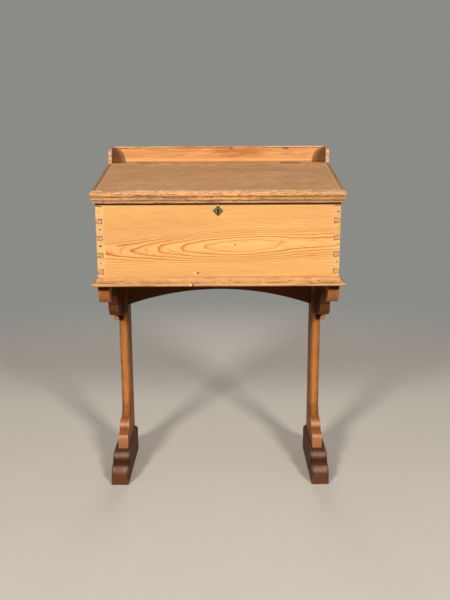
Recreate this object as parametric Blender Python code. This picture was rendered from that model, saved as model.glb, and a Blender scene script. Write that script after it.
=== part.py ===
"""A pine school desk: a box with a sloping hinged lid, carried on two shaped standards.

Units are metres and +Z is up. X runs along the front edge and Y from the front to the back.
The origin lies on the floor, under the middle of the desk.
"""
import math

import bmesh
import bpy
from mathutils import Matrix, Vector

# Fits
FIT = 0.0003
MERGE = 0.000001
ARC_STEPS = 7

# Desk box: dovetailed front and sides, a back between the sides, boards nailed on below
BOX_WIDTH = 0.635
BOX_DEPTH = 0.390
BOX_UNDERSIDE = 0.630
BOARD = 0.016
BACK_BOARD = 0.014
BOTTOM_BOARD = 0.012
BOTTOM_COUNT = 3
PIN_ABOVE_FOOT = 0.0255
PIN_PITCH = 0.0443
PIN_ROOT = 0.0130
PIN_TIP = 0.0090
PIN_MARGIN = 0.004

# Moulding planted round the foot of the box
BASE_MOULD_OUT = 0.016
BASE_MOULD_HIGH = 0.022
BASE_BEAD = 0.0045
BASE_FILLET = 0.003

# Lid, its planted edge moulding and the fixed rail that it hangs on
HINGE_HEIGHT = 0.932
HINGE_FROM_BACK = 0.073
LID_SLOPE = math.radians(9.15)
LID_THICK = 0.018
LID_GAP = 0.001
LIP_CLEAR = 0.001
LIP_OUT = 0.011
LIP_DEEP = 0.032
LIP_TORUS = 0.008
LIP_BEAD = 0.0048
LIP_FOOT = 0.0055

# Gallery on the fixed rail
GALLERY_HEIGHT = 0.048
GALLERY_THICK = 0.013
GALLERY_SET_IN = 0.003
GALLERY_BEAD = 0.0028
GALLERY_QUIRK = 0.0012
CHEEK_THICK = 0.013
CHEEK_SETBACK = 0.003
CHEEK_UPRIGHT = 0.031
CHEEK_ROUND = 0.040
CHEEK_DROP = 0.002

# Butt hinges
HINGE_LENGTH = 0.056
HINGE_FROM_END = 0.1075
LEAF_THICK = 0.0016
LEAF_DEEP = 0.0155
BARREL_RADIUS = 0.0027
BORE_RADIUS = 0.0013
PIN_RADIUS = 0.0010
BARREL_CLEAR = 0.0005
KNUCKLES = 5
ROUND_SIDES = 16

# Lock, key plate and striking plate
PLATE_DIAGONAL = 0.033
PLATE_THICK = 0.0020
PLATE_SLOPE = 0.0025
KEY_BELOW_EDGE = 0.0334
KEY_ROUND = 0.0030
KEY_SLOT = 0.0034
KEY_DROP = 0.0105
LOCK_WIDTH = 0.058
LOCK_THICK = 0.011
LOCK_BELOW_KEY = 0.022
LOCK_BELOW_LID = 0.003
LOCK_WALL = 0.003
BOLT_WIDTH = 0.020
BOLT_THICK = 0.0045
BOLT_LENGTH = 0.026
BOLT_SUNK = 0.0005
BOLT_THROW = 0.008
BOLT_SLIDE = 0.0004
STRIKE_LENGTH = 0.046
STRIKE_WIDTH = 0.014
STRIKE_THICK = 0.0016
STRIKE_SLACK = 0.0018

# Standards: foot, post and bearer on each side, with an arched rail between the posts.
# Depths are measured back from the face of the box, and the set-ins from its sides.
FOOT_SET_IN = 0.0203
FOOT_WIDTH = 0.0511
FOOT_FRONT = 0.118
FOOT_BACK = BOX_DEPTH
FOOT_HIGH = 0.081
FOOT_CHAMFER = 0.0065
FOOT_BACK_ROUND = 0.010
NOSE_UPRIGHT = 0.034
NOSE_HIGH = 0.054
NOSE_ROUND = 0.017
NOSE_FLAT = 0.005
INSTEP_FRONT = 0.163
INSTEP_FOOT = 0.059
INSTEP_ROUND = 0.021

POST_SET_IN = 0.0369
POST_THICK = 0.0296
POST_FRONT = 0.305
POST_DEEP = 0.072
POST_CHAMFER = 0.0070
CHAMFER_OVERRUN = 0.024
FLARE_FRONT = 0.199
FLARE_UPRIGHT = 0.034
FLARE_LOW = 0.044
FLARE_ROUND = 0.010
CROWN_FRONT = 0.238
CROWN_FOOT = 0.050
CROWN_UPRIGHT = 0.057
CROWN_HIGH = 0.069
CROWN_ROUND = 0.024
CROWN_FLAT = 0.006
STEM_COVE = 0.036
TENON_THICK = 0.014
TENON_LONG = 0.045
TENON_SHOULDER = 0.020

BEARER_THICK = 0.0294
BEARER_LAP = 0.0162
BEARER_FRONT = 0.022
TOE_UPRIGHT = 0.030
TOE_HIGH = 0.057
TOE_ROUND = 0.036
TOE_FLAT = 0.006
COVE_STEP = 0.007
KNEE_FRONT = 0.192
KNEE_LEDGE = 0.003
KNEE_TOP = 0.097
KNEE_UPRIGHT = 0.004
KNEE_HIGH = 0.139
KNEE_ROUND = 0.052
BEAD_COVE = 0.284
BEAD_TOP = 0.152
BEAD_RADIUS = 0.0085
BEAD_PROUD = 0.0165

APRON_FRONT = 0.316
APRON_THICK = 0.020
APRON_HIGH = 0.123
ARCH_RISE = 0.045
ARCH_STEPS = 24
HOUSING = 0.008

# Finishes: colour, roughness, metallic
HONEY_PINE = ((0.78, 0.40, 0.14), 0.48, 0.0)
WORN_PINE = ((0.45, 0.24, 0.11), 0.62, 0.0)
AMBER_PINE = ((0.62, 0.25, 0.07), 0.45, 0.0)
DARK_PINE = ((0.16, 0.07, 0.035), 0.50, 0.0)
RAW_PINE = ((0.55, 0.36, 0.19), 0.70, 0.0)
OLD_BRASS = ((0.60, 0.44, 0.18), 0.38, 1.0)
IRON = ((0.09, 0.08, 0.07), 0.55, 1.0)

# Places worked out from the driving dimensions
FRONT = (BASE_MOULD_OUT - BOX_DEPTH) / 2
BACK = FRONT + BOX_DEPTH
HALF = BOX_WIDTH / 2
WALL_FOOT = BOX_UNDERSIDE + BOTTOM_BOARD + FIT
HINGE_Y = BACK - HINGE_FROM_BACK
SLOPE = math.tan(LID_SLOPE)
PANEL_HALF = HALF + LIP_CLEAR
PANEL_LENGTH = (HINGE_Y - FRONT + LIP_CLEAR) / math.cos(LID_SLOPE)
RAIL_FRONT = HINGE_Y + LID_GAP / 2
GALLERY_TOP = HINGE_HEIGHT + GALLERY_HEIGHT
GALLERY_HALF = PANEL_HALF + LIP_OUT - GALLERY_SET_IN
HINGE_OFF_CENTRE = HALF - HINGE_FROM_END
FOOT_CENTRE = HALF - FOOT_SET_IN
POST_INNER = HALF - POST_SET_IN
POST_OUTER = POST_INNER + POST_THICK
POST_BACK = POST_FRONT + POST_DEEP
BEARER_INNER = POST_OUTER - BEARER_LAP
BEARER_TOP = BOX_UNDERSIDE - FIT
BEARER_FOOT = BOX_UNDERSIDE - BEAD_TOP - 2 * BEAD_RADIUS

ALONG_X = (math.pi / 2, 0.0, math.pi / 2)
ALONG_Y = (math.pi / 2, 0.0, 0.0)


def lid_underside(y):
    """Height of the lid's underside, which the tops of the box's walls follow."""
    return HINGE_HEIGHT - (HINGE_Y - y) * SLOPE - LID_THICK / math.cos(LID_SLOPE)


def back_from_face(depth):
    """Y at a depth measured back from the face of the box."""
    return FRONT + depth


# Modelling helpers
for old in list(bpy.data.objects):
    bpy.data.objects.remove(old, do_unlink=True)

PARTS = bpy.data.collections.new("school_desk")
CUTTERS = bpy.data.collections.new("school_desk_cutters")
for group in (PARTS, CUTTERS):
    bpy.context.scene.collection.children.link(group)


def add_object(name, mesh, group):
    """Links a new object; one in the cutters' group is a tool and stays out of the model."""
    obj = bpy.data.objects.new(name, mesh)
    group.objects.link(obj)
    if group is CUTTERS:
        obj.hide_render = True
        obj.display_type = "WIRE"
    return obj


def finish(obj, look):
    """Gives a piece its own material from a finish."""
    colour, roughness, metallic = look
    material = bpy.data.materials.new(obj.name)
    material.use_nodes = True
    shader = material.node_tree.nodes["Principled BSDF"]
    shader.inputs["Base Color"].default_value = (*colour, 1.0)
    shader.inputs["Roughness"].default_value = roughness
    shader.inputs["Metallic"].default_value = metallic
    obj.data.materials.append(material)
    return obj


def block(name, low, high, group=PARTS):
    """A rectangular block between two opposite corners."""
    mesh = bpy.data.meshes.new(name)
    solid = bmesh.new()
    bmesh.ops.create_cube(solid, size=1.0)
    bmesh.ops.scale(solid, vec=Vector(high) - Vector(low), verts=solid.verts)
    solid.to_mesh(mesh)
    solid.free()
    obj = add_object(name, mesh, group)
    obj.location = (Vector(low) + Vector(high)) / 2
    return obj


def rod(name, radius, low_x, high_x, group=PARTS):
    """A round rod along X through the origin's axis."""
    mesh = bpy.data.meshes.new(name)
    solid = bmesh.new()
    bmesh.ops.create_cone(solid, cap_ends=True, segments=ROUND_SIDES,
                          radius1=radius, radius2=radius, depth=high_x - low_x)
    bmesh.ops.rotate(solid, matrix=Matrix.Rotation(math.pi / 2, 3, "Y"), verts=solid.verts)
    solid.to_mesh(mesh)
    solid.free()
    mesh.shade_smooth()
    mesh.set_sharp_from_angle(angle=math.radians(40))
    obj = add_object(name, mesh, group)
    obj.location = ((low_x + high_x) / 2, 0.0, 0.0)
    return obj


def solid_from_curve(curve_object):
    """Turns an extruded outline into a closed mesh in the same place."""
    bpy.context.view_layer.update()
    graph = bpy.context.evaluated_depsgraph_get()
    mesh = bpy.data.meshes.new_from_object(curve_object.evaluated_get(graph))
    name = curve_object.name
    place = curve_object.matrix_world.copy()
    group = curve_object.users_collection[0]
    bpy.data.objects.remove(curve_object)
    solid = bmesh.new()
    solid.from_mesh(mesh)
    bmesh.ops.remove_doubles(solid, verts=solid.verts, dist=MERGE)
    bmesh.ops.dissolve_limit(solid, angle_limit=0.001, verts=solid.verts, edges=solid.edges)
    bmesh.ops.recalc_face_normals(solid, faces=solid.faces)
    solid.to_mesh(mesh)
    solid.free()
    obj = add_object(name, mesh, group)
    obj.matrix_world = place
    return obj


def prism(name, outline, low, high, direction, group=PARTS):
    """A flat outline carried straight along X (outline in Y, Z) or along Y (outline in X, Z)."""
    curve = bpy.data.curves.new(name, "CURVE")
    curve.dimensions = "2D"
    curve.fill_mode = "BOTH"
    curve.extrude = (high - low) / 2
    spline = curve.splines.new("POLY")
    spline.points.add(len(outline) - 1)
    for point, (across, up) in zip(spline.points, outline):
        point.co = (across, up, 0.0, 1.0)
    spline.use_cyclic_u = True
    obj = add_object(name, curve, group)
    obj.rotation_euler = direction
    middle = (low + high) / 2
    obj.location = (middle, 0.0, 0.0) if direction == ALONG_X else (0.0, middle, 0.0)
    return solid_from_curve(obj)


def trace(start, *moves):
    """Points of an outline. A move is a straight line, or a quarter of an ellipse.

    A "rise" leaves its start upright and arrives level; an "ease" leaves level and arrives upright.
    """
    points = [start]
    for kind, across, up in moves:
        a, b = points[-1]
        if kind == "line":
            points.append((across, up))
            continue
        for step in range(1, ARC_STEPS + 1):
            turn = math.pi / 2 * step / ARC_STEPS
            if kind == "rise":
                points.append((across + (a - across) * math.cos(turn), b + (up - b) * math.sin(turn)))
            else:
                points.append((a + (across - a) * math.sin(turn), up + (b - up) * math.cos(turn)))
    return points


def half_round(across, up, radius, first, last):
    """Points of an arc about a centre, between two angles in degrees."""
    steps = 2 * ARC_STEPS
    angles = [math.radians(first + (last - first) * step / steps) for step in range(steps + 1)]
    return [(across + radius * math.cos(t), up + radius * math.sin(t)) for t in angles]


def reshape(obj, rule):
    """Moves each corner of a solid by a rule on its place."""
    bpy.context.view_layer.update()
    place = obj.matrix_world
    back = place.inverted()
    for vertex in obj.data.vertices:
        vertex.co = back @ Vector(rule(*(place @ vertex.co)))


def cut(obj, *tools):
    """Takes tools away from a piece."""
    for tool in tools:
        modifier = obj.modifiers.new(tool.name, "BOOLEAN")
        modifier.operation = "DIFFERENCE"
        modifier.object = tool
    return obj


def join(obj, *tools):
    """Adds tools to a piece, as one body."""
    for tool in tools:
        modifier = obj.modifiers.new(tool.name, "BOOLEAN")
        modifier.operation = "UNION"
        modifier.object = tool
    return obj


def hang_on(parent, *pieces, drawn_in_place=False):
    """Parents pieces that were drawn in their parent's own axes, or in place."""
    bpy.context.view_layer.update()
    for piece in pieces:
        piece.parent = parent
        if drawn_in_place:
            piece.matrix_parent_inverse = parent.matrix_world.inverted()


def moulding(name, profile, length, mitre_start, mitre_end, lean_out=0.0, lean_along=0.0):
    """A moulding along X whose profile is (outward, up), with outer mitres where asked.

    lean_out tips the profile outwards below its top, and lean_along tips both its ends along X.
    """
    strip = prism(name, profile, -length / 2, length / 2, ALONG_X)

    def place(x, out, up):
        mitre = out - FIT
        slide = up * lean_along
        if x < 0 and mitre_start:
            slide -= mitre
        if x > 0 and mitre_end:
            slide += mitre
        return x + slide, out - up * lean_out, up

    reshape(strip, place)
    return strip


def set_down(obj, x, y, z, quarter_turns):
    """Turns a piece about Z by quarter turns and carries it to its place."""
    bpy.context.view_layer.update()
    turn = Matrix.Rotation(quarter_turns * math.pi / 2, 4, "Z")
    obj.matrix_world = Matrix.Translation((x, y, z)) @ turn @ obj.matrix_world


# The lid and all that moves with it hang on an empty on the hinge line, tipped to the slope
lid_axis = bpy.data.objects.new("lid_axis", None)
PARTS.objects.link(lid_axis)
lid_axis.location = (0.0, HINGE_Y, HINGE_HEIGHT)
lid_axis.rotation_euler = (LID_SLOPE, 0.0, 0.0)

# The keyhole goes through the key plate, the front board and the front of the lock
front_top = lid_underside(FRONT) - FIT
key_height = front_top - KEY_BELOW_EDGE
key_round_foot = math.degrees(math.asin(KEY_SLOT / 2 / KEY_ROUND))
keyhole_outline = half_round(0.0, key_height, KEY_ROUND, -90 + key_round_foot, 270 - key_round_foot)
keyhole_outline += [(-KEY_SLOT / 2, key_height - KEY_DROP), (KEY_SLOT / 2, key_height - KEY_DROP)]
lock_front = FRONT + BOARD + FIT
keyhole = prism("keyhole", keyhole_outline, FRONT - 2 * PLATE_THICK, lock_front + LOCK_WALL + FIT,
                ALONG_Y, CUTTERS)


# Front board, with the tails of the corner dovetails at both ends
pin_room = front_top - PIN_MARGIN - PIN_ROOT / 2 - (WALL_FOOT + PIN_ABOVE_FOOT)
pin_heights = [WALL_FOOT + PIN_ABOVE_FOOT + PIN_PITCH * row for row in range(int(pin_room / PIN_PITCH) + 1)]
right_end = [(HALF, WALL_FOOT)]
for height in pin_heights:
    right_end += [
        (HALF, height - PIN_TIP / 2 - FIT),
        (HALF - BOARD - FIT, height - PIN_ROOT / 2 - FIT),
        (HALF - BOARD - FIT, height + PIN_ROOT / 2 + FIT),
        (HALF, height + PIN_TIP / 2 + FIT),
    ]
right_end.append((HALF, front_top))
left_end = [(-x, z) for x, z in reversed(right_end)]
front_board = finish(prism("front_board", right_end + left_end, FRONT, FRONT + BOARD, ALONG_Y), HONEY_PINE)


def follow_lid(x, y, z):
    """Planes the top edge of the front board to the slope of the lid."""
    return x, y, (lid_underside(y) - FIT if z > front_top - PIN_MARGIN / 2 else z)


reshape(front_board, follow_lid)
cut(front_board, keyhole)


# Sides, with the pins that show as end grain on the front
rail_underside = HINGE_HEIGHT - LID_THICK - FIT
shoulder = FRONT + BOARD + FIT
side_outline = [
    (shoulder, WALL_FOOT),
    (BACK, WALL_FOOT),
    (BACK, rail_underside),
    (HINGE_Y, min(rail_underside, lid_underside(HINGE_Y) - FIT)),
    (shoulder, lid_underside(shoulder) - FIT),
]
for height in reversed(pin_heights):
    side_outline += [
        (shoulder, height + PIN_ROOT / 2),
        (FRONT, height + PIN_ROOT / 2),
        (FRONT, height - PIN_ROOT / 2),
        (shoulder, height - PIN_ROOT / 2),
    ]


def narrow_pins(x, y, z):
    """Draws the pins in from their root width inside to their tip width on the outer face."""
    if abs(x) > HALF - BOARD / 2 and y < shoulder + FIT:
        for row in pin_heights:
            if abs(abs(z - row) - PIN_ROOT / 2) < FIT:
                z = row + math.copysign(PIN_TIP / 2, z - row)
    return x, y, z


for name, low in (("left_side", -HALF), ("right_side", HALF - BOARD)):
    side = finish(prism(name, side_outline, low, low + BOARD, ALONG_X), HONEY_PINE)
    reshape(side, narrow_pins)


# Back board, between the sides
inner_half = HALF - BOARD - FIT
finish(block("back_board", (-inner_half, BACK - BACK_BOARD, WALL_FOOT),
             (inner_half, BACK, rail_underside)), RAW_PINE)


# Bottom boards, nailed across under the walls
bottom_width = (BOX_DEPTH - FIT * (BOTTOM_COUNT - 1)) / BOTTOM_COUNT
for number in range(BOTTOM_COUNT):
    low_y = FRONT + number * (bottom_width + FIT)
    finish(block(f"bottom_board_{number + 1}", (-HALF, low_y, BOX_UNDERSIDE),
                 (HALF, low_y + bottom_width, BOX_UNDERSIDE + BOTTOM_BOARD)), RAW_PINE)


# Base moulding: a cove over a bead, mitred at the two front corners
bead_out = BASE_MOULD_OUT - BASE_BEAD
base_profile = [(FIT, 0.0)]
base_profile += half_round(bead_out, BASE_BEAD, BASE_BEAD, -90, 90)
base_profile += trace((bead_out, 2 * BASE_BEAD + FIT),
                      ("line", bead_out, 2 * BASE_BEAD + BASE_FILLET / 2),
                      ("ease", BASE_FILLET, BASE_MOULD_HIGH - BASE_FILLET / 2),
                      ("line", BASE_FILLET, BASE_MOULD_HIGH))
base_profile.append((FIT, BASE_MOULD_HIGH))
base_front = finish(moulding("base_moulding_front", base_profile, BOX_WIDTH, True, True), HONEY_PINE)
set_down(base_front, 0.0, FRONT, BOX_UNDERSIDE, 2)
base_left = finish(moulding("base_moulding_left", base_profile, BOX_DEPTH, True, False), HONEY_PINE)
set_down(base_left, -HALF, FRONT + BOX_DEPTH / 2, BOX_UNDERSIDE, 1)
base_right = finish(moulding("base_moulding_right", base_profile, BOX_DEPTH, False, True), HONEY_PINE)
set_down(base_right, HALF, FRONT + BOX_DEPTH / 2, BOX_UNDERSIDE, -1)


# Edge moulding of the lid and of the fixed rail: a torus over a smaller bead and a sloping foot
torus_out = LIP_OUT - LIP_TORUS
bead_centre = -2 * LIP_TORUS - LIP_BEAD - FIT
bead_root = torus_out + LIP_BEAD / 4
lip_profile = [(FIT, 0.0)]
lip_profile += half_round(torus_out, -LIP_TORUS, LIP_TORUS, 90, -75)
lip_profile += half_round(bead_root, bead_centre, LIP_BEAD, 60, -60)
lip_profile += [
    (bead_root, bead_centre - LIP_BEAD),
    (torus_out + LIP_FOOT / 2, bead_centre - LIP_BEAD - FIT),
    (torus_out, -LIP_DEEP),
    (FIT, -LIP_DEEP),
]

rail_length = BACK - RAIL_FRONT
for side, sign in (("left", -1), ("right", 1)):
    rail_end = finish(moulding(f"rail_moulding_{side}", lip_profile, rail_length, False, False), HONEY_PINE)
    set_down(rail_end, sign * PANEL_HALF, RAIL_FRONT + rail_length / 2, HINGE_HEIGHT, -sign)

lip_run = PANEL_LENGTH - LID_GAP / 2
lip_front = finish(moulding("lid_moulding_front", lip_profile, 2 * PANEL_HALF, True, True, lean_out=SLOPE),
                   HONEY_PINE)
set_down(lip_front, 0.0, -PANEL_LENGTH, 0.0, 2)
lip_left = finish(moulding("lid_moulding_left", lip_profile, lip_run, True, False, lean_along=SLOPE), HONEY_PINE)
set_down(lip_left, -PANEL_HALF, -PANEL_LENGTH + lip_run / 2, 0.0, 1)
lip_right = finish(moulding("lid_moulding_right", lip_profile, lip_run, False, True, lean_along=-SLOPE), HONEY_PINE)
set_down(lip_right, PANEL_HALF, -PANEL_LENGTH + lip_run / 2, 0.0, -1)
hang_on(lid_axis, lip_front, lip_left, lip_right)


# Lid panel and fixed rail, both let in for the hinges
panel_outline = [
    (-LID_GAP / 2, 0.0),
    (-PANEL_LENGTH, 0.0),
    (-PANEL_LENGTH - LID_THICK * SLOPE, -LID_THICK),
    (-LID_GAP / 2 - LID_THICK * SLOPE, -LID_THICK),
]
lid_panel = finish(prism("lid_panel", panel_outline, -PANEL_HALF, PANEL_HALF, ALONG_X), WORN_PINE)
hang_on(lid_axis, lid_panel)
hinge_rail = finish(block("hinge_rail", (-PANEL_HALF, RAIL_FRONT, HINGE_HEIGHT - LID_THICK),
                          (PANEL_HALF, BACK, HINGE_HEIGHT)), HONEY_PINE)


# Gallery: a rail along the back with a quirked bead on its top edge, and a rounded cheek at each end
gallery_front = BACK - GALLERY_THICK
bead_up = GALLERY_TOP - GALLERY_BEAD
gallery_foot = HINGE_HEIGHT + FIT
gallery_outline = [(gallery_front, bead_up - GALLERY_BEAD - GALLERY_QUIRK), (gallery_front, gallery_foot),
                   (BACK, gallery_foot)]
gallery_outline += half_round(BACK - GALLERY_BEAD, bead_up, GALLERY_BEAD, 0, 90)
gallery_outline += half_round(gallery_front + GALLERY_BEAD, bead_up, GALLERY_BEAD, 90, 240)
finish(prism("gallery_rail", gallery_outline, -GALLERY_HALF, GALLERY_HALF, ALONG_X), AMBER_PINE)

cheek_front = RAIL_FRONT + CHEEK_SETBACK
cheek_back = gallery_front - FIT
cheek_foot = HINGE_HEIGHT + FIT
cheek_outline = trace((cheek_front, cheek_foot),
                      ("line", cheek_front, cheek_foot + CHEEK_UPRIGHT),
                      ("rise", cheek_front + CHEEK_ROUND, GALLERY_TOP - CHEEK_DROP),
                      ("line", cheek_back, GALLERY_TOP - CHEEK_DROP),
                      ("line", cheek_back, cheek_foot))
for name, low in (("gallery_cheek_left", -GALLERY_HALF), ("gallery_cheek_right", GALLERY_HALF - CHEEK_THICK)):
    finish(prism(name, cheek_outline, low, low + CHEEK_THICK, ALONG_X), AMBER_PINE)


# Butt hinges: interleaved knuckles on a pin, each leaf let flush into its edge
knuckle = HINGE_LENGTH / KNUCKLES


def hinge_leaf(name, centre, facing, first_knuckle):
    """One leaf: a plate on the edge at facing (+1 the rail, -1 the lid) with every second knuckle."""
    near = facing * LID_GAP / 2
    far = facing * (LID_GAP / 2 + LEAF_THICK)
    plate_top = -BARREL_RADIUS - BARREL_CLEAR
    start = centre - HINGE_LENGTH / 2
    leaf = block(name, (start, min(near, far), -LEAF_DEEP),
                 (start + HINGE_LENGTH, max(near, far), plate_top))
    tools = []
    for number in range(first_knuckle, KNUCKLES, 2):
        low_x = start + number * knuckle + FIT / 2
        high_x = start + (number + 1) * knuckle - FIT / 2
        tools.append(rod(f"{name}_barrel_{number}", BARREL_RADIUS, low_x, high_x, CUTTERS))
        tools.append(block(f"{name}_neck_{number}", (low_x, min(near, far), plate_top - LEAF_THICK),
                           (high_x, max(near, far), -BORE_RADIUS / 2), CUTTERS))
    bore = rod(f"{name}_bore", BORE_RADIUS, start - FIT, start + HINGE_LENGTH + FIT, CUTTERS)
    join(leaf, *tools)
    cut(leaf, bore)
    return finish(leaf, IRON), tools + [bore]


def leaf_recess(name, centre, facing):
    """Tools for the shallow recess of a leaf and the round channel over its knuckles."""
    low_x = centre - HINGE_LENGTH / 2 - FIT
    high_x = centre + HINGE_LENGTH / 2 + FIT
    far = facing * (LID_GAP / 2 + LEAF_THICK + FIT)
    seat = block(f"{name}_seat", (low_x, min(-far / 2, far), -LEAF_DEEP - FIT),
                 (high_x, max(-far / 2, far), BARREL_RADIUS), CUTTERS)
    channel = rod(f"{name}_channel", BARREL_RADIUS + BARREL_CLEAR, low_x, high_x, CUTTERS)
    return [seat, channel]


hinge_line = Vector((0.0, HINGE_Y, HINGE_HEIGHT))
for side, sign in (("left", -1), ("right", 1)):
    centre = sign * HINGE_OFF_CENTRE
    fixed_leaf, fixed_tools = hinge_leaf(f"hinge_{side}_fixed_leaf", centre, 1, 0)
    fixed_recess = leaf_recess(f"hinge_{side}_rail", centre, 1)
    cut(hinge_rail, *fixed_recess)
    pin = rod(f"hinge_{side}_pin", PIN_RADIUS, centre - HINGE_LENGTH / 2, centre + HINGE_LENGTH / 2)
    finish(pin, IRON)
    lid_leaf, lid_tools = hinge_leaf(f"hinge_{side}_lid_leaf", centre, -1, 1)
    lid_recess = leaf_recess(f"hinge_{side}_lid", centre, -1)
    cut(lid_panel, *lid_recess)
    moving = [lid_leaf] + lid_tools + lid_recess
    for piece in [fixed_leaf, pin] + fixed_tools + fixed_recess + moving:
        piece.location += hinge_line
    hang_on(lid_axis, *moving, drawn_in_place=True)


# Key plate: a brass lozenge with sloping edges
plate_mesh = bpy.data.meshes.new("key_plate")
plate = bmesh.new()
bmesh.ops.create_cone(plate, cap_ends=True, segments=4, radius1=PLATE_DIAGONAL / 2,
                      radius2=PLATE_DIAGONAL / 2 - PLATE_SLOPE, depth=PLATE_THICK)
bmesh.ops.rotate(plate, matrix=Matrix.Rotation(math.pi / 2, 3, "X"), verts=plate.verts)
plate.to_mesh(plate_mesh)
plate.free()
key_plate = finish(add_object("key_plate", plate_mesh, PARTS), OLD_BRASS)
key_plate.location = (0.0, FRONT - FIT - PLATE_THICK / 2, key_height)
cut(key_plate, keyhole)


# Lock: a case on the inner face of the front board, with a bolt that shoots up into the lid
lock_back = lock_front + LOCK_THICK
bolt_centre = lock_front + LOCK_THICK / 2
lock_top = lid_underside(lock_front) - LOCK_BELOW_LID
bolt_top = lock_top - BOLT_SUNK
slide_half = BOLT_WIDTH / 2 + BOLT_SLIDE
slide_deep = BOLT_THICK / 2 + BOLT_SLIDE
lock_foot = key_height - LOCK_BELOW_KEY
lock_case = finish(block("lock_case", (-LOCK_WIDTH / 2, lock_front, lock_foot),
                         (LOCK_WIDTH / 2, lock_back, lock_top)), IRON)
bolt_way = block("bolt_way", (-slide_half, bolt_centre - slide_deep, lock_foot + LOCK_WALL),
                 (slide_half, bolt_centre + slide_deep, lock_top + BOLT_THROW), CUTTERS)
cut(lock_case, bolt_way, keyhole)
finish(block("lock_bolt", (-BOLT_WIDTH / 2, bolt_centre - BOLT_THICK / 2, bolt_top - BOLT_LENGTH),
             (BOLT_WIDTH / 2, bolt_centre + BOLT_THICK / 2, bolt_top)), OLD_BRASS)


# Striking plate, flush in the underside of the lid over a mortise for the bolt
strike_y = (bolt_centre - HINGE_Y - LID_THICK * math.sin(LID_SLOPE)) / math.cos(LID_SLOPE)
bolt_rise = BOLT_THROW - BOLT_SUNK - LOCK_BELOW_LID
slot_half = BOLT_WIDTH / 2 + STRIKE_SLACK
slot_deep = BOLT_THICK / 2 + STRIKE_SLACK
mortise_top = -LID_THICK + bolt_rise + STRIKE_SLACK


def strike_block(name, half_length, half_width, low, high, group):
    """A block centred on the bolt, in the axes of the lid."""
    return block(name, (-half_length, strike_y - half_width, low), (half_length, strike_y + half_width, high), group)


strike_plate = finish(strike_block("strike_plate", STRIKE_LENGTH / 2, STRIKE_WIDTH / 2,
                                   -LID_THICK, -LID_THICK + STRIKE_THICK, PARTS), OLD_BRASS)
strike_seat = strike_block("strike_seat", STRIKE_LENGTH / 2 + FIT, STRIKE_WIDTH / 2 + FIT,
                           -LID_THICK - STRIKE_THICK, -LID_THICK + STRIKE_THICK + FIT, CUTTERS)
strike_slot = strike_block("strike_slot", slot_half, slot_deep, -LID_THICK - STRIKE_THICK,
                           mortise_top, CUTTERS)
cut(strike_plate, strike_slot)
cut(lid_panel, strike_seat, strike_slot)
hang_on(lid_axis, strike_plate, strike_seat, strike_slot)


# Feet: a low rounded nose, a cove and a rounded instep, chamfered along their edges
foot_outline = trace((back_from_face(FOOT_FRONT), 0.0),
                     ("line", back_from_face(FOOT_FRONT), NOSE_UPRIGHT),
                     ("rise", back_from_face(FOOT_FRONT + NOSE_ROUND), NOSE_HIGH),
                     ("line", back_from_face(FOOT_FRONT + NOSE_ROUND + NOSE_FLAT), NOSE_HIGH),
                     ("ease", back_from_face(INSTEP_FRONT), INSTEP_FOOT),
                     ("line", back_from_face(INSTEP_FRONT), FOOT_HIGH - INSTEP_ROUND),
                     ("rise", back_from_face(INSTEP_FRONT + INSTEP_ROUND), FOOT_HIGH),
                     ("line", back_from_face(FOOT_BACK - FOOT_BACK_ROUND), FOOT_HIGH),
                     ("ease", back_from_face(FOOT_BACK), FOOT_HIGH - FOOT_BACK_ROUND),
                     ("line", back_from_face(FOOT_BACK), 0.0))


def chamfer_sides(obj, width, lowest):
    """Chamfers the edges of an outline's two flat sides, above a height."""
    bpy.context.view_layer.update()
    solid = bmesh.new()
    solid.from_mesh(obj.data)
    chosen = []
    for edge in solid.edges:
        heights = [(obj.matrix_world @ vertex.co).z for vertex in edge.verts]
        on_side = any(len(face.verts) > 4 for face in edge.link_faces)
        if on_side and max(heights) > lowest:
            chosen.append(edge)
    bmesh.ops.bevel(solid, geom=chosen, offset=width, offset_type="OFFSET", segments=1, affect="EDGES")
    solid.to_mesh(obj.data)
    solid.free()


# Posts: a stop-chamfered stem that sweeps forward over a rounded crown and a lower step on the foot
post_foot = FOOT_HIGH + FIT
crown_back = CROWN_FRONT + CROWN_ROUND + CROWN_FLAT
crown_top = FOOT_HIGH + CROWN_HIGH
stem_cove = trace((back_from_face(crown_back), crown_top),
                  ("ease", back_from_face(POST_FRONT), crown_top + STEM_COVE))
post_outline = trace((back_from_face(FLARE_FRONT), post_foot),
                     ("line", back_from_face(FLARE_FRONT), FOOT_HIGH + FLARE_UPRIGHT),
                     ("rise", back_from_face(FLARE_FRONT + FLARE_ROUND), FOOT_HIGH + FLARE_LOW),
                     ("ease", back_from_face(CROWN_FRONT), FOOT_HIGH + CROWN_FOOT),
                     ("line", back_from_face(CROWN_FRONT), FOOT_HIGH + CROWN_UPRIGHT),
                     ("rise", back_from_face(CROWN_FRONT + CROWN_ROUND), crown_top))
post_outline += stem_cove
post_outline += [(back_from_face(POST_FRONT), BEARER_TOP), (back_from_face(POST_BACK), BEARER_TOP),
                 (back_from_face(POST_BACK), post_foot)]
tenon_low = back_from_face(FLARE_FRONT) + TENON_SHOULDER
tenon_high = back_from_face(POST_BACK) - TENON_SHOULDER
chamfer_high = BEARER_FOOT + CHAMFER_OVERRUN
chamfer_outline = stem_cove + [(back_from_face(POST_FRONT), chamfer_high),
                               (back_from_face(crown_back), chamfer_high)]


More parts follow.
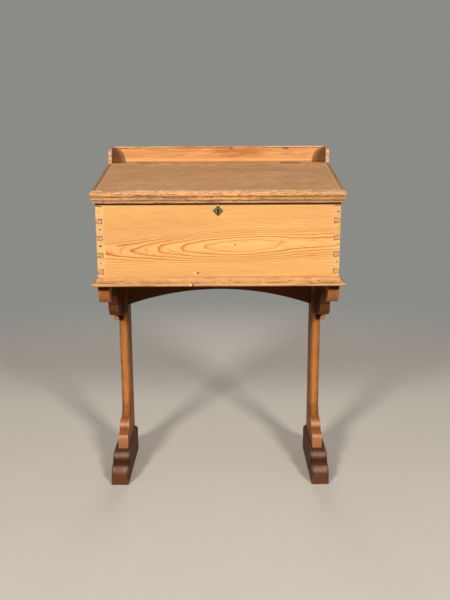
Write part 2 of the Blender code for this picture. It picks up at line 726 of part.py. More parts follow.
def edge_chamfer(name, edge, outward):
    """The space before the stem and its cove, sheared so that it takes off a front edge at X = edge.

    It meets the surface one chamfer's width in from the edge, and lies that much behind it at the edge.
    """
    near = edge - outward * (POST_CHAMFER + FIT)
    far = edge + outward * FIT
    tool = prism(name, chamfer_outline, min(near, far), max(near, far), ALONG_X, CUTTERS)

    def shear(x, y, z):
        depth = POST_CHAMFER + outward * (x - edge)
        return x, y + depth, z - depth

    reshape(tool, shear)
    return tool


# Bearers: long brackets under the box, lapped half their thickness onto the posts
bearer_outline = trace((back_from_face(BEARER_FRONT), BEARER_TOP),
                       ("line", back_from_face(BEARER_FRONT), BOX_UNDERSIDE - TOE_UPRIGHT),
                       ("rise", back_from_face(BEARER_FRONT + TOE_ROUND), BOX_UNDERSIDE - TOE_HIGH),
                       ("line", back_from_face(BEARER_FRONT + TOE_ROUND + TOE_FLAT), BOX_UNDERSIDE - TOE_HIGH),
                       ("line", back_from_face(BEARER_FRONT + TOE_ROUND + TOE_FLAT),
                        BOX_UNDERSIDE - TOE_HIGH + COVE_STEP),
                       ("ease", back_from_face(KNEE_FRONT + KNEE_LEDGE), BOX_UNDERSIDE - KNEE_TOP),
                       ("line", back_from_face(KNEE_FRONT), BOX_UNDERSIDE - KNEE_TOP),
                       ("line", back_from_face(KNEE_FRONT), BOX_UNDERSIDE - KNEE_TOP - KNEE_UPRIGHT),
                       ("rise", back_from_face(KNEE_FRONT + KNEE_ROUND), BOX_UNDERSIDE - KNEE_HIGH),
                       ("ease", back_from_face(BEAD_COVE), BOX_UNDERSIDE - BEAD_TOP))
bead_y = back_from_face(POST_FRONT - BEAD_PROUD) + BEAD_RADIUS
bearer_outline += half_round(bead_y, BEARER_FOOT + BEAD_RADIUS, BEAD_RADIUS, 90, 270)
bearer_outline += [(back_from_face(POST_BACK), BEARER_FOOT), (back_from_face(POST_BACK), BEARER_TOP)]


# Arched rail between the posts, housed into their inner faces
apron_foot = BOX_UNDERSIDE - APRON_HIGH
apron_half = POST_INNER + HOUSING
arch_radius = (POST_INNER ** 2 + ARCH_RISE ** 2) / (2 * ARCH_RISE)
arch_centre = apron_foot + ARCH_RISE - arch_radius
apron_outline = [(-apron_half, BEARER_TOP), (-apron_half, apron_foot)]
for step in range(ARCH_STEPS + 1):
    x = POST_INNER * (2 * step / ARCH_STEPS - 1)
    apron_outline.append((x, arch_centre + math.sqrt(arch_radius ** 2 - x ** 2)))
apron_outline += [(apron_half, apron_foot), (apron_half, BEARER_TOP)]
apron_low = back_from_face(APRON_FRONT)
finish(prism("apron_rail", apron_outline, apron_low, apron_low + APRON_THICK, ALONG_Y), AMBER_PINE)


def span(sign, inner, outer):
    """Low and high X of a piece given by its distances from the middle, on one side."""
    return (inner, outer) if sign > 0 else (-outer, -inner)


for side, sign in (("left", -1), ("right", 1)):
    low, high = span(sign, FOOT_CENTRE - FOOT_WIDTH / 2, FOOT_CENTRE + FOOT_WIDTH / 2)
    foot = finish(prism(f"{side}_foot", foot_outline, low, high, ALONG_X), DARK_PINE)
    chamfer_sides(foot, FOOT_CHAMFER, NOSE_UPRIGHT / 2)

    low, high = span(sign, POST_INNER, POST_OUTER)
    post = finish(prism(f"{side}_post", post_outline, low, high, ALONG_X), AMBER_PINE)
    post_centre = (low + high) / 2
    tenon_half = TENON_THICK / 2
    tenon = block(f"{side}_tenon", (post_centre - tenon_half, tenon_low, FOOT_HIGH - TENON_LONG),
                  (post_centre + tenon_half, tenon_high, post_foot + TENON_THICK), CUTTERS)
    mortise = block(f"{side}_mortise", (post_centre - tenon_half - FIT, tenon_low - FIT,
                                        FOOT_HIGH - TENON_LONG - FIT),
                    (post_centre + tenon_half + FIT, tenon_high + FIT, FOOT_HIGH + TENON_THICK), CUTTERS)
    join(post, tenon)
    cut(foot, mortise)

    low_lap, high_lap = span(sign, BEARER_INNER - FIT, POST_OUTER + BEARER_LAP)
    lap = block(f"{side}_lap", (low_lap, back_from_face(POST_FRONT) - BEAD_PROUD, BEARER_FOOT - FIT),
                (high_lap, back_from_face(POST_BACK) + BEAD_PROUD, BOX_UNDERSIDE + BEARER_LAP), CUTTERS)
    low_groove, high_groove = span(sign, POST_INNER - HOUSING, apron_half + FIT)
    groove = block(f"{side}_groove", (low_groove, apron_low - FIT, apron_foot - FIT),
                   (high_groove, apron_low + APRON_THICK + FIT, BOX_UNDERSIDE + HOUSING), CUTTERS)
    chamfers = [edge_chamfer(f"{side}_chamfer_{number}", edge, outward)
                for number, (edge, outward) in enumerate(((low, -1), (high, 1)))]
    cut(post, lap, groove, *chamfers)

    low, high = span(sign, BEARER_INNER, BEARER_INNER + BEARER_THICK)
    finish(prism(f"{side}_bearer", bearer_outline, low, high, ALONG_X), AMBER_PINE)
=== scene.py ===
"""The looks of an old pine school desk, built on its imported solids."""
import math
from functools import partial

import bpy
import numpy as np
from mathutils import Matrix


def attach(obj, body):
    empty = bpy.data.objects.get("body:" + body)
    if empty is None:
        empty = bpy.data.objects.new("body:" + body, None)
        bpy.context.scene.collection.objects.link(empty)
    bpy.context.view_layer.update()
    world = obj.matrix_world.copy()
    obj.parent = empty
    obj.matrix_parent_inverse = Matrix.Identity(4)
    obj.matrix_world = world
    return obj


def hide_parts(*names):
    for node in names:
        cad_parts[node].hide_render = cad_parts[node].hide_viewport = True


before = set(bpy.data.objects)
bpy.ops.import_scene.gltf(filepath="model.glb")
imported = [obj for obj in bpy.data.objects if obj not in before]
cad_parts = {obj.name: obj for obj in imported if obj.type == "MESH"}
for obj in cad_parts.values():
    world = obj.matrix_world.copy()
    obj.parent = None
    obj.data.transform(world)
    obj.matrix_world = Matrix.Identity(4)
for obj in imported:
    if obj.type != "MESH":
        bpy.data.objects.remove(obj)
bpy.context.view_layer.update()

# Feet: two blocks of pine, stained dark brown, each with a rounded nose, a cove and a rounded instep.
# They are sawn and shaved to one outline, and a broad chamfer runs along their upper edges.
# A painted highlight lightens the rounds that face forward and up, and painted shade darkens the inner faces.
BOX_FACE = -0.187
FOOT_HIGH = 0.081
FOOT_CENTRE = 0.2972
FOOT_WIDTH = 0.0511
FOOT_CHAMFER = 0.0065
FOOT_EASING = 0.0016
FOOT_GRIME_AND_SHADE = (0.045, 0.018, 0.009)
BOARD_STEP = 0.005
EDGE_COLUMNS = 7
EDGE_WAVER = 0.45
CHAMFER_WAVER = 0.05
RING_IN = 0.0012
FADE = 0.003
CURVE_STEPS = 13
SMOOTH_BELOW = math.radians(38)


def outline(front, start, *moves):
    """The points of an outline, stretch by stretch: a line, or a quarter of an ellipse.

    Places across are measured from the front. A rise leaves its start upright and arrives level; an ease
    leaves level and arrives upright.
    """
    turn = np.linspace(0.0, np.pi / 2, CURVE_STEPS)[1:]
    stretches = [np.array([[front + start[0], start[1]]])]
    for kind, across, up in moves:
        a, b = stretches[-1][-1]
        across = front + across
        if kind == "line":
            points = np.array([[across, up]])
        elif kind == "rise":
            points = np.column_stack((across + (a - across) * np.cos(turn), b + (up - b) * np.sin(turn)))
        else:
            points = np.column_stack((a + (across - a) * np.sin(turn), up + (b - up) * np.cos(turn)))
        stretches.append(points)
    return np.concatenate(stretches)


def evened(points, longest):
    """A closed outline, turned anticlockwise, each side divided evenly into parts no longer than longest."""
    x, y = points.T
    if (x * np.roll(y, -1) - np.roll(x, -1) * y).sum() < 0:
        points = points[::-1]
    sides = np.roll(points, -1, 0) - points
    parts = np.maximum(np.ceil(np.hypot(*sides.T) / longest).astype(int), 1)
    owner = np.repeat(np.arange(len(points)), parts)
    first = np.repeat(np.cumsum(parts) - parts, parts)
    share = (np.arange(parts.sum()) - first) / parts[owner]
    return points[owner] + sides[owner] * share[:, None]


def sway(place, longest, seed):
    """A slow, uneven wave between -1 and 1: four sines, each shorter and weaker than the last."""
    phases = np.random.default_rng(seed).uniform(0.0, 2 * np.pi, 4)
    waves = [0.5 ** k * np.sin(2 * np.pi * place * 1.7 ** k / longest + phases[k]) for k in range(4)]
    return sum(waves) / 1.875


def survey(points):
    """What a closed outline does at each point: inward direction, distance along it, and its curvature.

    The inward direction bisects the two sides that meet, lengthened so that an offset stays parallel.
    """
    ahead = np.roll(points, -1, 0) - points
    length = np.linalg.norm(ahead, axis=1)
    ahead = ahead / length[:, None]
    behind = np.roll(ahead, 1, 0)
    turn = np.arctan2(behind[:, 0] * ahead[:, 1] - behind[:, 1] * ahead[:, 0], (behind * ahead).sum(1))
    middle = ahead + behind
    middle = middle / np.linalg.norm(middle, axis=1)[:, None]
    inward = np.column_stack((-middle[:, 1], middle[:, 0])) / np.maximum(np.cos(turn / 2), 0.6)[:, None]
    along = np.cumsum(length) - length
    bend = turn * 2 / (length + np.roll(length, 1))
    bend = (np.roll(bend, 1) + 2 * bend + np.roll(bend, -1)) / 4
    return inward, along, bend


def grid_faces(rows, columns, rolled=False):
    """The four-cornered faces of a grid that closes round its rows and, if rolled, round its columns too."""
    row, column = np.meshgrid(np.arange(rows), np.arange(columns if rolled else columns - 1), indexing="ij")
    after = (row + 1) % rows
    beside = (column + 1) % columns
    cheek_shadows = (row * columns + column, after * columns + column,
               after * columns + beside, row * columns + beside)
    return np.stack(cheek_shadows, -1).reshape(-1, 4)


def shaped_board(points, low, high, lies, easing, seed, chamfer=0.0, chamfered=None):
    """A board sawn to an outline and worked along its edges.

    At a point P of the outline with inward direction N, an edge of size e is the curve P + b N at a depth a
    into the thickness, where (1 - a/e)^n + (1 - b/e)^n = 1. The exponent n is 2 for a rounded edge and goes
    to 1 for a chamfer. e wavers along the outline, as handwork does.
    """
    points = evened(points, BOARD_STEP)
    inward, along, bend = survey(points)
    share = np.zeros(len(points)) if chamfered is None else chamfered(*points.T)
    theta = np.linspace(0.0, np.pi / 2, EDGE_COLUMNS)
    power = 2 / (2 - 0.9 * share)[:, None]
    depths = []
    offsets = []
    for side in range(2):
        edge = easing * (1 + EDGE_WAVER * sway(along, 0.13, seed + side))
        uneven = 1 + CHAMFER_WAVER * sway(along, 0.3, seed + side)
        edge = (edge + share * (chamfer - easing) * uneven)[:, None]
        depths.append(np.hstack((0 * edge, edge * (1 - np.cos(theta) ** power), edge + FADE)))
        offsets.append(np.hstack((edge + RING_IN, edge * (1 - np.sin(theta).clip(0) ** power), 0 * edge)))
    across = np.hstack((low + depths[0], (high - depths[1])[:, ::-1]))
    inset = np.hstack((offsets[0], offsets[1][:, ::-1]))
    plane = points[:, None, :] + inward[:, None, :] * inset[:, :, None]
    columns = across.shape[1]
    arrises = np.zeros(columns)
    arrises[1:EDGE_COLUMNS + 1] = 1.0
    arrises[-EDGE_COLUMNS - 1:-1] = 1.0
    convex = np.clip(bend * 0.004, 0, 1)[:, None]
    cap = arrises[None, :] + np.isin(np.arange(columns), (0, columns - 1))
    masks = {"arris": np.maximum(arrises[None, :] * np.ones((len(points), 1)), convex * (1 - cap).clip(0)),
             "hollow": np.clip(-bend * 0.02, 0, 1)[:, None] * np.ones((1, columns)),
             "chamfer": share[:, None] * arrises[None, :]}
    loop = np.arange(len(points)) * columns
    faces = grid_faces(len(points), columns).tolist() + [loop[::-1].tolist(), (loop + columns - 1).tolist()]
    if lies == "X":
        place = np.stack((across, plane[:, :, 0], plane[:, :, 1]), -1)
    else:
        place = np.stack((plane[:, :, 0], across, plane[:, :, 1]), -1)
        faces = [face[::-1] for face in faces]
    return place.reshape(-1, 3), faces, masks


def put(name, data):
    """Puts an object with its mesh, lamp or lens into the scene."""
    made = bpy.data.objects.new(name, data)
    bpy.context.scene.collection.objects.link(made)
    return made


def build(name, shape, finish):
    """Makes a mesh object at the origin, in the desk's own frame."""
    points, faces, masks = shape
    mesh = bpy.data.meshes.new(name)
    mesh.from_pydata(points.tolist(), [], faces)
    for title, values in masks.items():
        layer = mesh.attributes.new(title, "FLOAT", "POINT")
        layer.data.foreach_set("value", values.astype(np.float32).ravel())
    mesh.shade_smooth()
    mesh.set_sharp_from_angle(angle=SMOOTH_BELOW)
    mesh.materials.append(finish)
    return put(name, mesh)


def add_piece(name, shape, finish, body, slot, *nodes):
    """Builds a piece and hangs it on its body, in place of the solids that it replaces."""
    piece = build(name, shape, finish)
    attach(piece, body)
    if nodes:
        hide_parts(*nodes)


def add_pair(title, replaced, points, inner, outer, easing, seed, finish, slot, chamfer=0.0, chamfered=None):
    """Adds the same board on the left and on the right, between two distances from the middle."""
    for number, (side, sign) in enumerate((("left", -1), ("right", 1))):
        low, high = sorted((sign * inner, sign * outer))
        shape = shaped_board(points, low, high, "X", easing, seed + number, chamfer, chamfered)
        add_piece(f"{side}_{title}", shape, finish, "desk", slot, replaced.format(side))


class Amount:
    """A value, place or colour in a finish. A sum of amounts adds the shader nodes that work it out."""

    def __init__(self, socket):
        self.socket = socket
        self.tree = socket.id_data

    def __add__(self, other):
        return calc("ADD", self, other)

    def __sub__(self, other):
        return calc("SUBTRACT", self, other)

    def __rsub__(self, other):
        return calc("SUBTRACT", other, self)

    def __mul__(self, other):
        return calc("MULTIPLY", self, other)

    def __truediv__(self, other):
        return calc("DIVIDE", self, other)

    def __pow__(self, other):
        return calc("POWER", self, other)

    def __abs__(self):
        return calc("ABSOLUTE", self)


def give(socket, value):
    """Gives a socket an amount, a number or a colour."""
    if isinstance(value, Amount):
        value.tree.links.new(value.socket, socket)
    elif socket.type == "RGBA":
        socket.default_value = (*value, 1.0)
    else:
        socket.default_value = value


def node(tree, kind, inputs=None, **settings):
    """Adds a shader node with its settings and its inputs."""
    made = tree.nodes.new("ShaderNode" + kind)
    for title, value in settings.items():
        setattr(made, title, value)
    for title, value in (inputs or {}).items():
        give(made.inputs[title], value)
    return made


def result(tree, kind, inputs=None, output=0, **settings):
    """Adds a shader node and gives one of its outputs as an amount."""
    return Amount(node(tree, kind, inputs, **settings).outputs[output])


def calc(operation, *values):
    """Works out one step of a sum on amounts and numbers."""
    tree = next(value.tree for value in values if isinstance(value, Amount))
    return result(tree, "Math", dict(enumerate(values)), operation=operation)


def between(value, low, high, first=0.0, last=1.0):
    """Carries an amount from low..high to first..last, with soft ends."""
    ends = {"Value": value, "From Min": low, "From Max": high, "To Min": first, "To Max": last}
    return result(value.tree, "MapRange", ends, interpolation_type="SMOOTHSTEP")


def falls(value, low, high, first=1.0):
    """A share that falls softly to nothing while an amount goes from low to high."""
    return between(value, low, high, first, 0.0)


def near(value, middle, inner, outer, most=1.0):
    """A soft line: most where an amount is within inner of the middle, and nothing beyond outer."""
    return falls(abs(value - middle), inner, outer, most)


def distance(one, two):
    """How far two amounts at right angles reach together: the root of their squares' sum."""
    return calc("SQRT", one ** 2.0 + two ** 2.0)


def tint(share, under, over):
    """Lays one colour over another by a share."""
    return result(share.tree, "Mix", {0: share, 6: under, 7: over}, 2, data_type="RGBA")


def cloud(place, stretch, detail=2.0, roughness=0.55):
    """Noise on a place that is stretched along its axes, or alike along all three."""
    axis_by_axis = {0: place, 1: tuple(np.broadcast_to(stretch, 3))}
    drawn = result(place.tree, "VectorMath", axis_by_axis, operation="MULTIPLY")
    noise = {"Vector": drawn, "Scale": 1.0, "Detail": detail, "Roughness": roughness}
    return result(place.tree, "TexNoise", noise, "Fac")


def axes(place):
    """The three axes of a place or a direction."""
    return [Amount(part) for part in node(place.tree, "SeparateXYZ", {0: place}).outputs]


def facing(tree):
    """How far a surface faces to the right, to the back and up."""
    return axes(result(tree, "NewGeometry", output="Normal"))


def outward(x):
    """How far a surface faces away from the desk's middle: 1 on outer sides, -1 on inner ones."""
    return facing(x.tree)[0] * calc("SIGN", x)


def by_name(sockets):
    """Amounts by the names of their sockets."""
    return {socket.name: Amount(socket) for socket in sockets if socket.name}


def shader_group(name, inputs, outputs):
    """An empty shader group, its sockets listed by kind: the group, its inputs as amounts, its outputs."""
    tree = bpy.data.node_groups.new(name, "ShaderNodeTree")
    for way, sockets in (("INPUT", inputs), ("OUTPUT", outputs)):
        for kind, titles in sockets.items():
            for title in titles.split():
                tree.interface.new_socket(title, in_out=way, socket_type="NodeSocket" + kind)
    given = by_name(tree.nodes.new("NodeGroupInput").outputs)
    return tree, given, tree.nodes.new("NodeGroupOutput").inputs


def feed(outlets, **results):
    """Wires a group's results to its outputs."""
    for title, amount in results.items():
        give(outlets[title], amount)


def placed(tree, group, **inputs):
    """A shader group placed in a finish with its own values: its results by name."""
    return by_name(node(tree, "Group", inputs, node_tree=group).outputs)


# Growth rings: dark late wood at a ring's outer edge, each ring of its own strength, with fibres along X
pine_wood, given, outlets = shader_group(
    "pine_wood",
    {"Vector": "Vector", "Color": "Pale Dark", "Float": "Radius Spacing Figure Fibre Sharp Uneven"},
    {"Color": "Color", "Float": "Height"})
wobble = cloud(given["Vector"], (14.0, 60.0, 60.0), 3.0) - 0.5
rings = wobble * 0.5 + given["Radius"] / given["Spacing"]
part = calc("FRACT", rings)
late = part ** given["Sharp"] * falls(part, 0.94, 1.0)
false_ring = near(part, 0.45, 0.0, 0.1, 0.3) * between(wobble, -0.05, 0.12)
ring_chance = result(pine_wood, "TexWhiteNoise", {"W": calc("FLOOR", rings)}, "Value", noise_dimensions="1D")
strength = 1.0 - ring_chance * given["Uneven"]
late = calc("MAXIMUM", late, false_ring) * strength
fine = cloud(given["Vector"], (22.0, 620.0, 620.0), 3.0, 0.65)
coarse = cloud(given["Vector"], (5.0, 110.0, 110.0), 3.0, 0.6)
broad = cloud(given["Vector"], (2.5, 13.0, 13.0))
figure = late * given["Figure"] * between(coarse, 0.25, 0.7, 0.6, 1.15)
streak = (fine - 0.5) * 0.9 + (coarse - 0.5) * 0.9
light = streak * given["Fibre"] + (broad - 0.5) * 0.45 + 1.0
wood = tint(figure, given["Pale"], given["Dark"])
wood = result(pine_wood, "VectorMath", {0: wood, "Scale": light}, operation="SCALE")
feed(outlets, Color=wood, Height=late * 0.5 + fine * 0.6)

# Use: finish rubbed off along the arrises, and brown grime left in the hollows
handling, given, outlets = shader_group(
    "handling", {"Vector": "Vector", "Color": "Color Bare Grime", "Float": "Arris Hollow Wear Dirt Blotch"},
    {"Color": "Color", "Float": "Soiled"})
patch = cloud(given["Vector"], (45.0, 90.0, 90.0), 4.0, 0.6)
specks = between(cloud(given["Vector"], (150.0, 230.0, 230.0), 3.0, 0.6), 0.66, 0.76)
blotches = between(cloud(given["Vector"], (14.0, 120.0, 120.0), 4.0, 0.62), 0.5, 0.72)
worn = between(given["Arris"] * 0.45 + patch, 0.72, 1.0) * given["Arris"] * given["Wear"]
soiled = calc("MAXIMUM", given["Hollow"] * between(patch, 0.3, 0.65), specks * 0.5) * given["Dirt"]
soiled = calc("MAXIMUM", soiled, blotches * given["Blotch"])
used = tint(worn, given["Color"], given["Bare"])
feed(outlets, Color=tint(soiled, used, given["Grime"]), Soiled=soiled)

# Painted highlight: a paler colour on the rounds that look forward and up, where the lamps shine back; the
# hollows are darkened by dirt and painted shade
round_highlights, given, outlets = shader_group(
    "round_highlights", {"Vector": "Vector", "Color": "Color Rubbed Grime", "Float": "Hollow"}, {"Color": "Color"})
to_back, upward = facing(round_highlights)[1:]
rounds = (between(upward, 0.15, 0.55) * between(upward, 0.8, 0.97, 1.0, 0.2)
          * between(to_back, -0.35, -0.1, 1.0, 0.2)
          * between(cloud(given["Vector"], 60.0, 4.0), 0.3, 0.65, 0.5, 1.0)
          * falls(given["Hollow"], 0.1, 0.6, 0.85))
hollow_dirt_and_shade = tint(given["Hollow"] * 0.6, given["Color"], given["Grime"])
feed(outlets, Color=tint(rounds, hollow_dirt_and_shade, given["Rubbed"]))


def start_finish(name):
    """A new material: itself, its tree and its Principled shader."""
    made = bpy.data.materials.new(name)
    made.use_nodes = True
    return made, made.node_tree, made.node_tree.nodes["Principled BSDF"]


def where(tree):
    """Object coordinates, which are the desk's own."""
    return result(tree, "TexCoord", output="Object")


def grain_frame(tree, run, pith, tilt):
    """Object coordinates with the grain along X, and the distance from the heart of the log.

    The heart lies at pith in the two other axes, leans by tilt and wanders a little along the log.
    """
    place = where(tree)
    axis = dict(zip("XYZ", axes(place)))
    one, two = [axis[letter] for letter in "XYZ" if letter != run]
    drift = axes(result(tree, "TexNoise", {"Vector": place, "Scale": 5.0, "Detail": 1.0}, "Color"))
    one = drift[0] * 0.014 + one - pith[0]
    two = drift[1] * 0.014 + two - pith[1] + axis[run] * tilt
    vector = result(tree, "CombineXYZ", {0: axis[run], 1: one, 2: two})
    return place, vector, distance(one, two)


def mask(tree, title):
    """A mask that the mesh carries."""
    return result(tree, "Attribute", output="Fac", attribute_name=title)


def shade(shader, colour, roughness, height=None, strength=0.2):
    """Gives a shader its colour, roughness and bump; the height is in units of half a millimetre."""
    give(shader.inputs["Base Color"], colour)
    give(shader.inputs["Roughness"], roughness)
    if height is not None:
        bump = result(height.tree, "Bump", {"Height": height, "Strength": strength, "Distance": 0.0005})
        give(shader.inputs["Normal"], bump)


def pine_finish(name, run, pith, pale, dark, bare, grime, spacing=0.004, tilt=0.0, figure=0.8, fibre=0.5,
                wear=0.8, dirt=0.8, blotch=0.0, gloss=(0.38, 0.55), specular=0.4, chamfer_dark=0.0,
                highlight_colour=None):
    """A pine finish: wood round its heart, then use, then a painted highlight on the rounds if a colour is
    given, then a roughness that rises where it is soiled.
    """
    made, tree, shader = start_finish(name)
    place, vector, radius = grain_frame(tree, run, pith, tilt)
    wood = placed(tree, pine_wood, Vector=vector, Radius=radius, Spacing=spacing, Pale=pale, Dark=dark,
                  Figure=figure, Fibre=fibre, Sharp=3.0, Uneven=0.55)
    colour = wood["Color"]
    if chamfer_dark:
        colour = tint(mask(tree, "chamfer") * chamfer_dark, colour, grime)
    used = placed(tree, handling, Vector=vector, Color=colour, Arris=mask(tree, "arris"),
                  Hollow=mask(tree, "hollow"), Bare=bare, Grime=grime, Wear=wear, Dirt=dirt, Blotch=blotch)
    colour = used["Color"]
    if highlight_colour:
        colour = placed(tree, round_highlights, Vector=place, Color=colour, Hollow=mask(tree, "hollow"), Rubbed=highlight_colour,
                        Grime=grime)["Color"]
    shader.inputs["Specular IOR Level"].default_value = specular
    shade(shader, colour, between(used["Soiled"] + wood["Height"], 0.2, 1.4, *gloss), wood["Height"])
    return made


def spots_of(finish):
    """Where a finish lies: Object coordinates, and their three axes."""
    place = where(finish.node_tree)
    return place, *axes(place)


def lay(finish, *coats):
    """Lays coats over a finish, one after the other: each is a share and a colour."""
    base = finish.node_tree.nodes["Principled BSDF"].inputs["Base Color"]
    colour = Amount(base.links[0].from_socket)
    for share, over in coats:
        colour = tint(share, colour, over)
    give(base, colour)


foot_stain = pine_finish(
    "foot_stain", "Y", (0.30, -0.02), (0.160, 0.056, 0.026), (0.080, 0.026, 0.011), (0.21, 0.10, 0.058),
    FOOT_GRIME_AND_SHADE, spacing=0.005, wear=0.6, blotch=0.5, gloss=(0.5, 0.66), specular=0.05, chamfer_dark=0.7,
    highlight_colour=(0.33, 0.205, 0.145))
place, x, y, z = spots_of(foot_stain)
# Painted shade: the feet's inner faces, which face the middle of the desk, are darkened
lay(foot_stain, (falls(outward(x), -0.9, -0.5, 0.5), FOOT_GRIME_AND_SHADE))
foot_points = outline(
    BOX_FACE, (0.118, 0.0), ("line", 0.118, 0.026), ("rise", 0.139, 0.054), ("line", 0.141, 0.054),
    ("ease", 0.162, 0.061), ("line", 0.162, FOOT_HIGH - 0.018), ("rise", 0.184, FOOT_HIGH),
    ("line", 0.380, FOOT_HIGH), ("ease", 0.390, FOOT_HIGH - 0.010), ("line", 0.390, 0.0))


def foot_chamfered(y, z):
    """The chamfer begins low on the nose and runs over the top."""
    return np.clip((z - 0.006) / 0.010, 0, 1)


add_pair(
    "foot_block", "{}_foot", foot_points, FOOT_CENTRE - FOOT_WIDTH / 2, FOOT_CENTRE + FOOT_WIDTH / 2,
    FOOT_EASING, seed=11, finish=foot_stain, slot="dark_pine", chamfer=FOOT_CHAMFER, chamfered=foot_chamfered)

# Posts: pine stems tenoned into the feet, sawn in one piece with the crown and the step at their foot.
# Their front edges are chamfered from the crown to the bearer.
# An old amber varnish covers them. Painted shade darkens them under the box and on their inner faces, and a
# painted highlight lightens the rounds of crown and step.
POST_INNER = 0.2806
POST_OUTER = 0.3102
POST_CHAMFER = 0.0070
POST_EASING = 0.0012
POST_FOOT = FOOT_HIGH + 0.0003
BEARER_TOP = 0.6297
CHAMFER_END = 0.486
CROWN_TOP = FOOT_HIGH + 0.069
post_varnish = pine_finish(
    "post_varnish", "Z", (0.25, 0.16), (0.60, 0.212, 0.054), (0.35, 0.092, 0.019), (0.72, 0.33, 0.115),
    (0.17, 0.058, 0.017), spacing=0.0035, figure=0.7, fibre=0.6, wear=0.4, dirt=0.7, blotch=0.25,
    gloss=(0.42, 0.55), specular=0.035, chamfer_dark=0.75, highlight_colour=(0.80, 0.45, 0.28))
post_points = outline(
    BOX_FACE, (0.199, POST_FOOT), ("line", 0.199, FOOT_HIGH + 0.028), ("rise", 0.210, FOOT_HIGH + 0.041),
    ("ease", 0.238, FOOT_HIGH + 0.050), ("line", 0.238, FOOT_HIGH + 0.055), ("rise", 0.262, CROWN_TOP),
    ("line", 0.268, CROWN_TOP), ("ease", 0.305, CROWN_TOP + 0.036), ("line", 0.305, BEARER_TOP),
    ("line", 0.3764, BEARER_TOP), ("line", 0.3764, 0.4600), ("line", 0.377, 0.4594),
    ("line", 0.377, POST_FOOT))


def post_chamfered(y, z):
    """The chamfer starts on the cove behind the crown and stops just above the bearer's foot."""
    stem = np.clip((y - BOX_FACE - 0.267) / 0.006, 0, 1) * (y < BOX_FACE + 0.31)
    return stem * np.clip((z - CROWN_TOP) / 0.004, 0, 1) * np.clip((CHAMFER_END - z) / 0.010, 0, 1)


add_pair(
    "post_stem", "{}_post", post_points, POST_INNER, POST_OUTER, POST_EASING, seed=21, finish=post_varnish,
    slot="amber_pine", chamfer=POST_CHAMFER, chamfered=post_chamfered)

# Bearers: long brackets that carry the box, halved onto the outer sides of the posts and nailed from inside.
# A rounded toe, a cove, a knee and a last small bead are sawn along the underside.
# The varnish is bright on the toes; further back, painted shade darkens it.
BOX_FOOT = 0.630
BEARER_INNER = 0.294
BEARER_THICK = 0.0294
BEARER_EASING = 0.0013
BEARER_BACK = 0.377
BEAD_RADIUS = 0.0085
bearer_varnish = pine_finish(
    "bearer_varnish", "Y", (0.25, 0.70), (0.40, 0.145, 0.042), (0.24, 0.072, 0.016), (0.66, 0.33, 0.13),
    (0.09, 0.033, 0.012), figure=0.7, fibre=0.6, wear=0.45, blotch=0.4, gloss=(0.46, 0.62), specular=0.015)
bearer_points = outline(
    BOX_FACE, (0.022, BEARER_TOP), ("line", 0.022, BOX_FOOT - 0.014), ("rise", 0.058, BOX_FOOT - 0.057),
    ("line", 0.064, BOX_FOOT - 0.057), ("line", 0.064, BOX_FOOT - 0.050), ("ease", 0.195, BOX_FOOT - 0.097),
    ("line", 0.192, BOX_FOOT - 0.097), ("line", 0.192, BOX_FOOT - 0.101), ("rise", 0.244, BOX_FOOT - 0.139),
    ("ease", 0.284, BOX_FOOT - 0.152))
bead_turn = np.radians(np.linspace(90, 270, 17))
bearer_bead = np.column_stack((BOX_FACE + 0.297 + BEAD_RADIUS * np.cos(bead_turn),
                               BOX_FOOT - 0.1605 + BEAD_RADIUS * np.sin(bead_turn)))
bearer_end = np.array([[BOX_FACE + BEARER_BACK, BOX_FOOT - 0.169], [BOX_FACE + BEARER_BACK, BEARER_TOP]])
bearer_points = np.concatenate((bearer_points, bearer_bead, bearer_end))
add_pair(
    "bracket", "{}_bearer", bearer_points, BEARER_INNER, BEARER_INNER + BEARER_THICK, BEARER_EASING, seed=31,
    finish=bearer_varnish, slot="amber_pine")

# Painted shade darkens the standards close under the box behind the brackets' toes, and their inner faces,
# with a dark band along their tops; the posts are also browner near the floor
for finish, under_most, inner_shade_low, inner_shade_high in ((post_varnish, 0.86, 0.50, 0.72),
                                                    (bearer_varnish, 0.80, 0.88, 0.88)):
    place, x, y, z = spots_of(finish)
    behind_toe = between(y - BOX_FACE, 0.060, 0.085)
    under_box = behind_toe * between(z, 0.460, 0.494, 0.0, under_most)
    painted_shade = calc("MAXIMUM", under_box, between(z, 0.6100, 0.6155))
    faces_away = calc("MAXIMUM", outward(x), facing(x.tree)[1])
    patches = between(cloud(place, 30.0, 4.0, 0.6), 0.25, 0.7, 0.75, 1.0)
    inner_side_shade = falls(outward(x), -0.9, -0.5, between(z, 0.25, 0.42, inner_shade_low, inner_shade_high))
    painted_shade = calc("MAXIMUM", painted_shade * patches * between(faces_away, 0.3, 0.8, 1.0, 0.12), inner_side_shade * behind_toe)
    lay(finish, (falls(z, 0.090, 0.150, 0.5), (0.32, 0.142, 0.078)), (painted_shade, (0.032, 0.013, 0.006)))

# Painted light and shade where a bracket ends: the outer half of the small bead is painted pale as if lit,
# its inner half near-black as painted shadow, and the knee's front is darkened as painted shade
place, x, y, z = spots_of(bearer_varnish)
to_front = falls(facing(x.tree)[1], -0.6, -0.3)
depth = y - BOX_FACE
at_bead = falls(z, 0.4785, 0.4805) * between(depth, 0.270, 0.280) * falls(depth, 0.297, 0.306)
slant = abs(x) + 0.1383 - z * 0.3
paled = to_front * at_bead * between(slant, 0.3055, 0.3080, 0.0, 0.6)
bead_shadow = at_bead * falls(slant, 0.3040, 0.3065, 0.92)
knee_shade = to_front * between(depth, 0.184, 0.190) * falls(depth, 0.236, 0.250, 0.45)
lay(bearer_varnish, (paled, (0.70, 0.32, 0.165)), (knee_shade, (0.185, 0.058, 0.027)),
    (bead_shadow, (0.010, 0.005, 0.003)))
